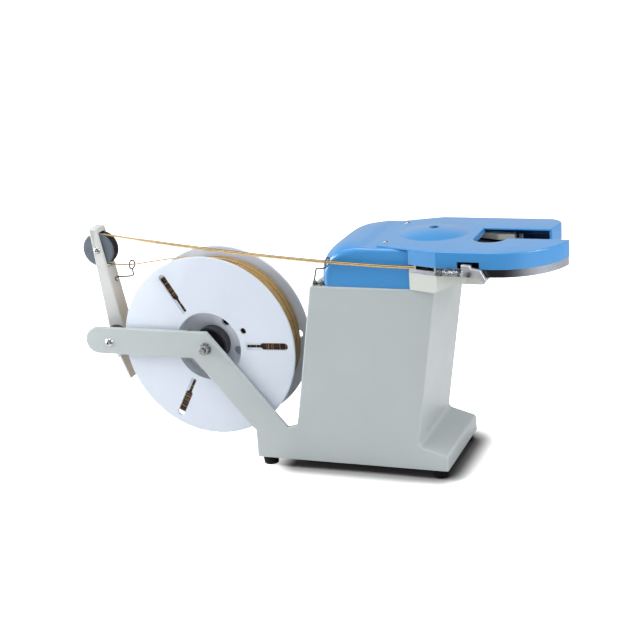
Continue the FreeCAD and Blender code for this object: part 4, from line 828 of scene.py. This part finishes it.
def add_rear_eye():
    """The eye on the stand, with two flat turns at its foot."""
    foot_z = 259.01
    foot_turn = dict(axis=(0, 0, 1), radius=2.6, steps=22, zero=(1, 0, 0))
    path = turn((-26.0, -68.5, foot_z), start=-2.7, end=2.7, **foot_turn)
    path.append(Vector((-30.4, -67.3, foot_z + 0.1)))
    path += turn((-35.0, -68.5, foot_z), start=0.6, end=2 * PI - 1.57, rise=0.1, **foot_turn)
    path += catmull([
        (-34.9, -73.2, foot_z + 0.2), (-34.4, -75.4, foot_z + 1.6), (-33.0, -76.5, 262.6),
        (-30.0, -77.3, 274.0), (-28.2, -77.6, 280.6), (-26.0, -77.8, 282.2),
        (-20.2, -78.0, 282.2), (-15.6, -78.0, 283.4), (-13.6, -78.0, 285.0)], steps=4)
    path += turn(REAR_EYE, (1, -0.22, -0.1), radius=5.7, **EYE_TURN)
    add_wire("rear_wire_eye", path, body="stand", replaced="rear_eye_wire",
             up=(0.1, 0.2, 1), **EYE_WIRE)


add_front_eye()
add_rear_eye()

# ---------------------------------------------------------------------------
# Small turned pieces, (radius, y)
# ---------------------------------------------------------------------------
SPACER = [
    (4.1, -67.0), (8.6, -67.0), (9.0, -66.6), (9.0, -54.2), (9.6, -53.6), (16.6, -53.6),
    (17.4, -52.8), (17.4, -48.5), (16.6, -47.75), (4.1, -47.75)]
SHADE_SHEET = [(21.8, -36.2), (48.9, -36.2), (48.9, -35.0), (21.8, -35.0)]
BLIND_PLUG = [(0.01, -44.2), (5.4, -44.2), (5.8, -43.8), (5.8, -42.6), (0.01, -42.6)]

# Stepped spacer between the stand and the dancer
add_turned("dancer_pivot_spacer", SPACER, "adapter_nylon", "stand", centre=PIVOT,
           segments=72, replaced="dancer_spacer")
# Dark sheet inside the reel core, behind its round windows: it stands for the shade seen through
# them
add_turned("reel_core_shade_sheet", SHADE_SHEET, "adapter_nylon", "reel", slot="reel_plastic")
plug_x, _, plug_z = around(REEL, 36.5, math.radians(-16.0), 0)
add_turned("reel_core_blind_plug", BLIND_PLUG, "reel_plug_polymer", "reel",
           centre=(plug_x, plug_z), segments=40, slot="reel_plastic")

# ---------------------------------------------------------------------------
# Rear hood, crowned across its width between the two flat cheeks
# ---------------------------------------------------------------------------
HOOD_X, HOOD_Z = 38.0, 262.0         # axis of the hood's round -X corner
CROWN_LOW, CROWN_MORE = 7.5, 5.2     # rise at the foot, and what the shoulder adds
SHOULDER = 25.0                      # degrees above level, where the crown is highest


def crown(angle):
    """Rise of the crown at an angle (degrees) above the -X direction."""
    if angle >= 90.0:
        return 0.0
    if angle > SHOULDER:
        fall = (angle - SHOULDER) / (90.0 - SHOULDER)
        return (CROWN_LOW + CROWN_MORE) * math.cos(PI / 2 * fall) ** 1.6
    fall = (SHOULDER - max(-20.0, angle)) / 45.0
    return CROWN_LOW + CROWN_MORE * math.cos(PI / 2 * fall) ** 2


def add_hood():
    mesh = NODES["rear_cover"].data.copy()
    mesh.name = "rear_hood"
    bm = bmesh.new()
    bm.from_mesh(mesh)
    bmesh.ops.remove_doubles(bm, verts=bm.verts, dist=0.000004)
    # Cuts give the crown points to move; across Y they crowd towards the cheeks
    cuts = [(place(0, 71.5 * math.sin(PI / 2 * (k - 14) / 14.5), 0), (0, 1, 0))
            for k in range(29)]
    cuts += [(place(-12.0 + 4.0 * k, 0, 0), (1, 0, 0)) for k in range(14)]
    for point, normal in cuts:
        bmesh.ops.bisect_plane(bm, geom=bm.verts[:] + bm.edges[:] + bm.faces[:], dist=1e-7,
                               plane_co=point, plane_no=normal)
    for vert in bm.verts:
        x = vert.co.x * 1000 - LAYOUT_X
        y = vert.co.y * 1000 - LAYOUT_Y
        z = vert.co.z * 1000
        angle = 90.0
        if x < HOOD_X:
            angle = math.degrees(math.atan2(z - HOOD_Z, HOOD_X - x))
        across = max(0.0, 1.0 - (abs(y) / 72.5) ** 4.5)
        outward = Vector((-(HOOD_X - x), 0.0, max(0.0, z - HOOD_Z)))
        if outward.length > 1e-6:
            outward.normalize()
            vert.co += outward * (crown(angle) * across * MM)
    shade_smooth(bm, sharp=24)
    bm.to_mesh(mesh)
    bm.free()
    mesh.materials.clear()
    mesh.materials.append(FINISH["cover_blue_enamel"])
    hood = add_object("rear_hood", mesh)
    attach(hood, "stand")
    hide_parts("rear_cover")


add_hood()


# ---------------------------------------------------------------------------
# Springs
# ---------------------------------------------------------------------------
def add_lever_spring():
    """A coil along X, with a hook round the anchor screw and one at the lever."""
    spring_y, spring_z = -92.2, 286.0
    start_x, end_x, coil_radius = 142.6, 163.4, 3.3
    turns = 15
    steps = turns * 14
    path = [around(SPRING_ANCHOR, 2.35, math.radians(200 - 270 * k / 12), spring_y + 0.4)
            for k in range(13)]
    for k in range(steps + 1):
        t = k / steps
        angle = -PI / 2 + 2 * PI * turns * t
        radius = coil_radius * min(1.0, 0.35 + 8 * t, 0.35 + 8 * (1 - t))
        path.append((start_x + (end_x - start_x) * t, spring_y + radius * math.cos(angle),
                     spring_z + radius * math.sin(angle)))
    for k in range(13):
        angle = math.radians(-90 + 270 * k / 12) + PI / 2 + 0.6
        path.append(around((168.6, 285.6), 2.1, angle, spring_y - 3.6))
    spring = add_wire("lever_return_spring", catmull(path, 2), radius=0.52,
                      finish_name="spring_wire", body=None, replaced="lever_spring",
                      segments=8, up=(0, 1, 0))
    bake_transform(spring)


def add_torsion_spring():
    """Four turns round the dancer pivot, with a straight leg at each end."""
    pivot_x, pivot_z = PIVOT
    near_y = -21.1
    path = [(pivot_x + 9.0, -21.6, pivot_z + 27.0), (pivot_x + 8.6, -21.3, pivot_z + 24.0),
            (pivot_x + 8.4, near_y, pivot_z + 12.0)]
    path += [around(PIVOT, 8.3, 2 * PI * k / 20, near_y + 1.75 * k / 20)
             for k in range(4 * 20 + 1)]
    path += [(pivot_x + 8.4, -14.1, pivot_z - 6.0), (pivot_x + 8.6, -13.9, pivot_z - 9.0)]
    add_wire("dancer_torsion_spring", path, radius=0.8, finish_name="spring_wire",
             body="stand", replaced="dancer_spring", segments=10, up=(0, 1, 0))


add_lever_spring()
add_torsion_spring()


# ---------------------------------------------------------------------------
# Floor, in metres
# ---------------------------------------------------------------------------
def contact_shade(graph):
    """Darkness under the base plate, fading to white a short way from its outline."""
    tilt = graph.add("ShaderNodeCombineXYZ")
    for i, value in enumerate((-0.32, -0.20, 0.926)):
        tilt.inputs[i].default_value = value
    openness = graph.occlusion(samples=16, distance=0.072, normal=tilt.outputs[0])
    shade = graph.ramp(openness, [(0.0, 0.005), (0.44, 0.03), (0.79, 0.31), (0.97, 1)])
    low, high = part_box("base_plate")
    centre = ((low[0] + high[0]) / 2, (low[1] + high[1]) / 2, 0.0)
    half = ((high[0] - low[0]) / 2, (high[1] - low[1]) / 2, 0.0)
    offset = graph.add("ShaderNodeNewGeometry").outputs["Position"]
    for operation, operand in (("SUBTRACT", centre), ("ABSOLUTE", None),
                               ("SUBTRACT", half), ("MAXIMUM", (0.0, 0.0, 0.0))):
        offset = graph.vector_math(operation, offset, operand).outputs[0]
    distance = graph.vector_math("LENGTH", offset).outputs["Value"]
    away = graph.remap(distance, span=(0.012, 0.058), interpolation_type="SMOOTHSTEP")
    return graph.mix(away, shade, (1, 1, 1, 1))


def mirrored_shade(graph):
    """In reflections the floor is dark towards -Y and bright to both sides."""
    separate = graph.add("ShaderNodeSeparateXYZ")
    graph.feed(separate.inputs[0], graph.coords.outputs["Object"])
    towards = graph.math("MULTIPLY", separate.outputs[1], -1.0)
    bearing = graph.math("ARCTAN2", separate.outputs[0], towards)
    levels = graph.ramp(graph.remap(bearing, span=(-PI, PI)),
                        [(0.0, 1), (0.375, 1), (0.425, 0.12), (0.575, 0.12), (0.64, 0.9),
                         (1.0, 1)])
    rays = graph.add("ShaderNodeLightPath")
    return graph.mix(rays.outputs["Is Glossy Ray"], (1, 1, 1, 1), levels)


def floor_material():
    material = bpy.data.materials.new("floor_paper")
    graph = Graph(material)
    surface = graph.surface()
    contact = contact_shade(graph)
    paper = graph.ramp(graph.noise(scale=60.0, detail=4.0, rough=0.6),
                       [(0.3, 0.90), (0.7, 0.93)])
    tone = graph.mix(1.0, paper, contact, blend="MULTIPLY")
    rays = graph.add("ShaderNodeLightPath")
    fibres = graph.noise(scale=900.0, detail=3.0, rough=0.6)
    values = {
        "Base Color": graph.mix(1.0, tone, mirrored_shade(graph), blend="MULTIPLY"),
        "Roughness": 0.9,
        "Specular IOR Level": 0.02,
        # A glow that only the camera sees
        "Emission Strength": graph.math("MULTIPLY", rays.outputs["Is Camera Ray"], 0.85),
        "Emission Color": contact,
        "Normal": graph.bump(fibres, strength=0.05, distance=0.0002)}
    for key, value in values.items():
        graph.feed(surface.inputs[key], value)
    return material


def add_floor():
    half = 30.0
    mesh = bpy.data.meshes.new("floor")
    mesh.from_pydata([(-half, -half, 0), (half, -half, 0), (half, half, 0),
                      (-half, half, 0)], [], [(0, 1, 2, 3)])
    floor = add_object("floor", mesh)
    mesh.materials.append(floor_material())
    return floor


# ---------------------------------------------------------------------------
# World, lights and camera, in metres
# ---------------------------------------------------------------------------
def background(graph, colour, strength):
    node = graph.add("ShaderNodeBackground")
    graph.feed(node.inputs[0], colour)
    graph.feed(node.inputs[1], strength)
    return node.outputs[0]


def mix_shader(graph, factor, a, b):
    node = graph.add("ShaderNodeMixShader")
    for i, value in enumerate((factor, a, b)):
        graph.feed(node.inputs[i], value)
    return node.outputs[0]


def build_world():
    """White to the camera, a soft sky for light, and a banded room in reflections."""
    world = bpy.data.worlds.new("studio")
    bpy.context.scene.world = world
    graph = Graph(world)
    output = graph.add("ShaderNodeOutputWorld")
    rays = graph.add("ShaderNodeLightPath")
    separate = graph.add("ShaderNodeSeparateXYZ")
    graph.feed(separate.inputs[0], graph.coords.outputs["Generated"])
    height = separate.outputs[2]
    sky = graph.ramp(height, [
        (0.0, (0.30, 0.31, 0.33, 1)), (0.18, (0.42, 0.43, 0.45, 1)),
        (0.45, (0.78, 0.79, 0.81, 1)), (1.0, (1.0, 1.0, 1.0, 1))])
    room = graph.ramp(height, [
        (position, (grey, grey, grey * 1.02, 1)) for position, grey in
        ((0.0, 0.5), (0.02, 1.0), (0.42, 1.0), (0.60, 0.40), (0.80, 0.25), (1.0, 0.5))])
    room_strength = graph.remap(separate.outputs[1], to=(0.36, 0.62), span=(-0.25, 0.35))
    lit = mix_shader(graph, rays.outputs["Is Glossy Ray"],
                     background(graph, sky, strength=0.55),
                     background(graph, room, room_strength))
    seen = mix_shader(graph, rays.outputs["Is Camera Ray"], lit,
                      background(graph, (1, 1, 1, 1), strength=1.0))
    graph.feed(output.inputs[0], seen)


def add_area_light(name, location, target, size, power):
    light = bpy.data.lights.new(name, "AREA")
    light.shape = "RECTANGLE"
    light.size, light.size_y = size
    light.energy = power
    lamp = add_object(name, light)
    lamp.location = location
    aim = Vector(target) - Vector(location)
    lamp.rotation_euler = aim.to_track_quat("-Z", "Y").to_euler()


def add_camera():
    azimuth, elevation, roll = (math.radians(angle) for angle in (21.587, 17.705, -4.232))
    data = bpy.data.cameras.new("camera")
    camera = add_object("camera", data)
    back = Vector((math.sin(azimuth) * math.cos(elevation),
                   -math.cos(azimuth) * math.cos(elevation), math.sin(elevation)))
    right = Vector((0, 0, 1)).cross(back).normalized()
    up = back.cross(right).normalized()
    rolled_right = right * math.cos(roll) + up * math.sin(roll)
    rolled_up = right * (-math.sin(roll)) + up * math.cos(roll)
    matrix = Matrix((rolled_right, rolled_up, back)).transposed().to_4x4()
    matrix.translation = place(632.12, -1745.96, 785.49)
    camera.matrix_world = matrix
    data.sensor_width = 36.0
    data.lens = 82.1750625
    data.clip_end = 200.0
    bpy.context.scene.camera = camera


floor = add_floor()
build_world()
add_area_light("soft_top", location=(-0.25, -0.25, 1.75), target=(0.0, 0.0, 0.15),
               size=(1.6, 1.2), power=16.5)
add_area_light("soft_left", location=(-1.62, -0.42, 0.62), target=(-0.10, -0.05, 0.18),
               size=(0.8, 0.9), power=27)
add_area_light("soft_right", location=(1.25, -0.42, 0.85), target=(0.15, 0.0, 0.12),
               size=(0.7, 0.8), power=10.5)
add_camera()
bpy.context.scene.view_settings.view_transform = "Standard"
bpy.context.scene.view_settings.look = "None"
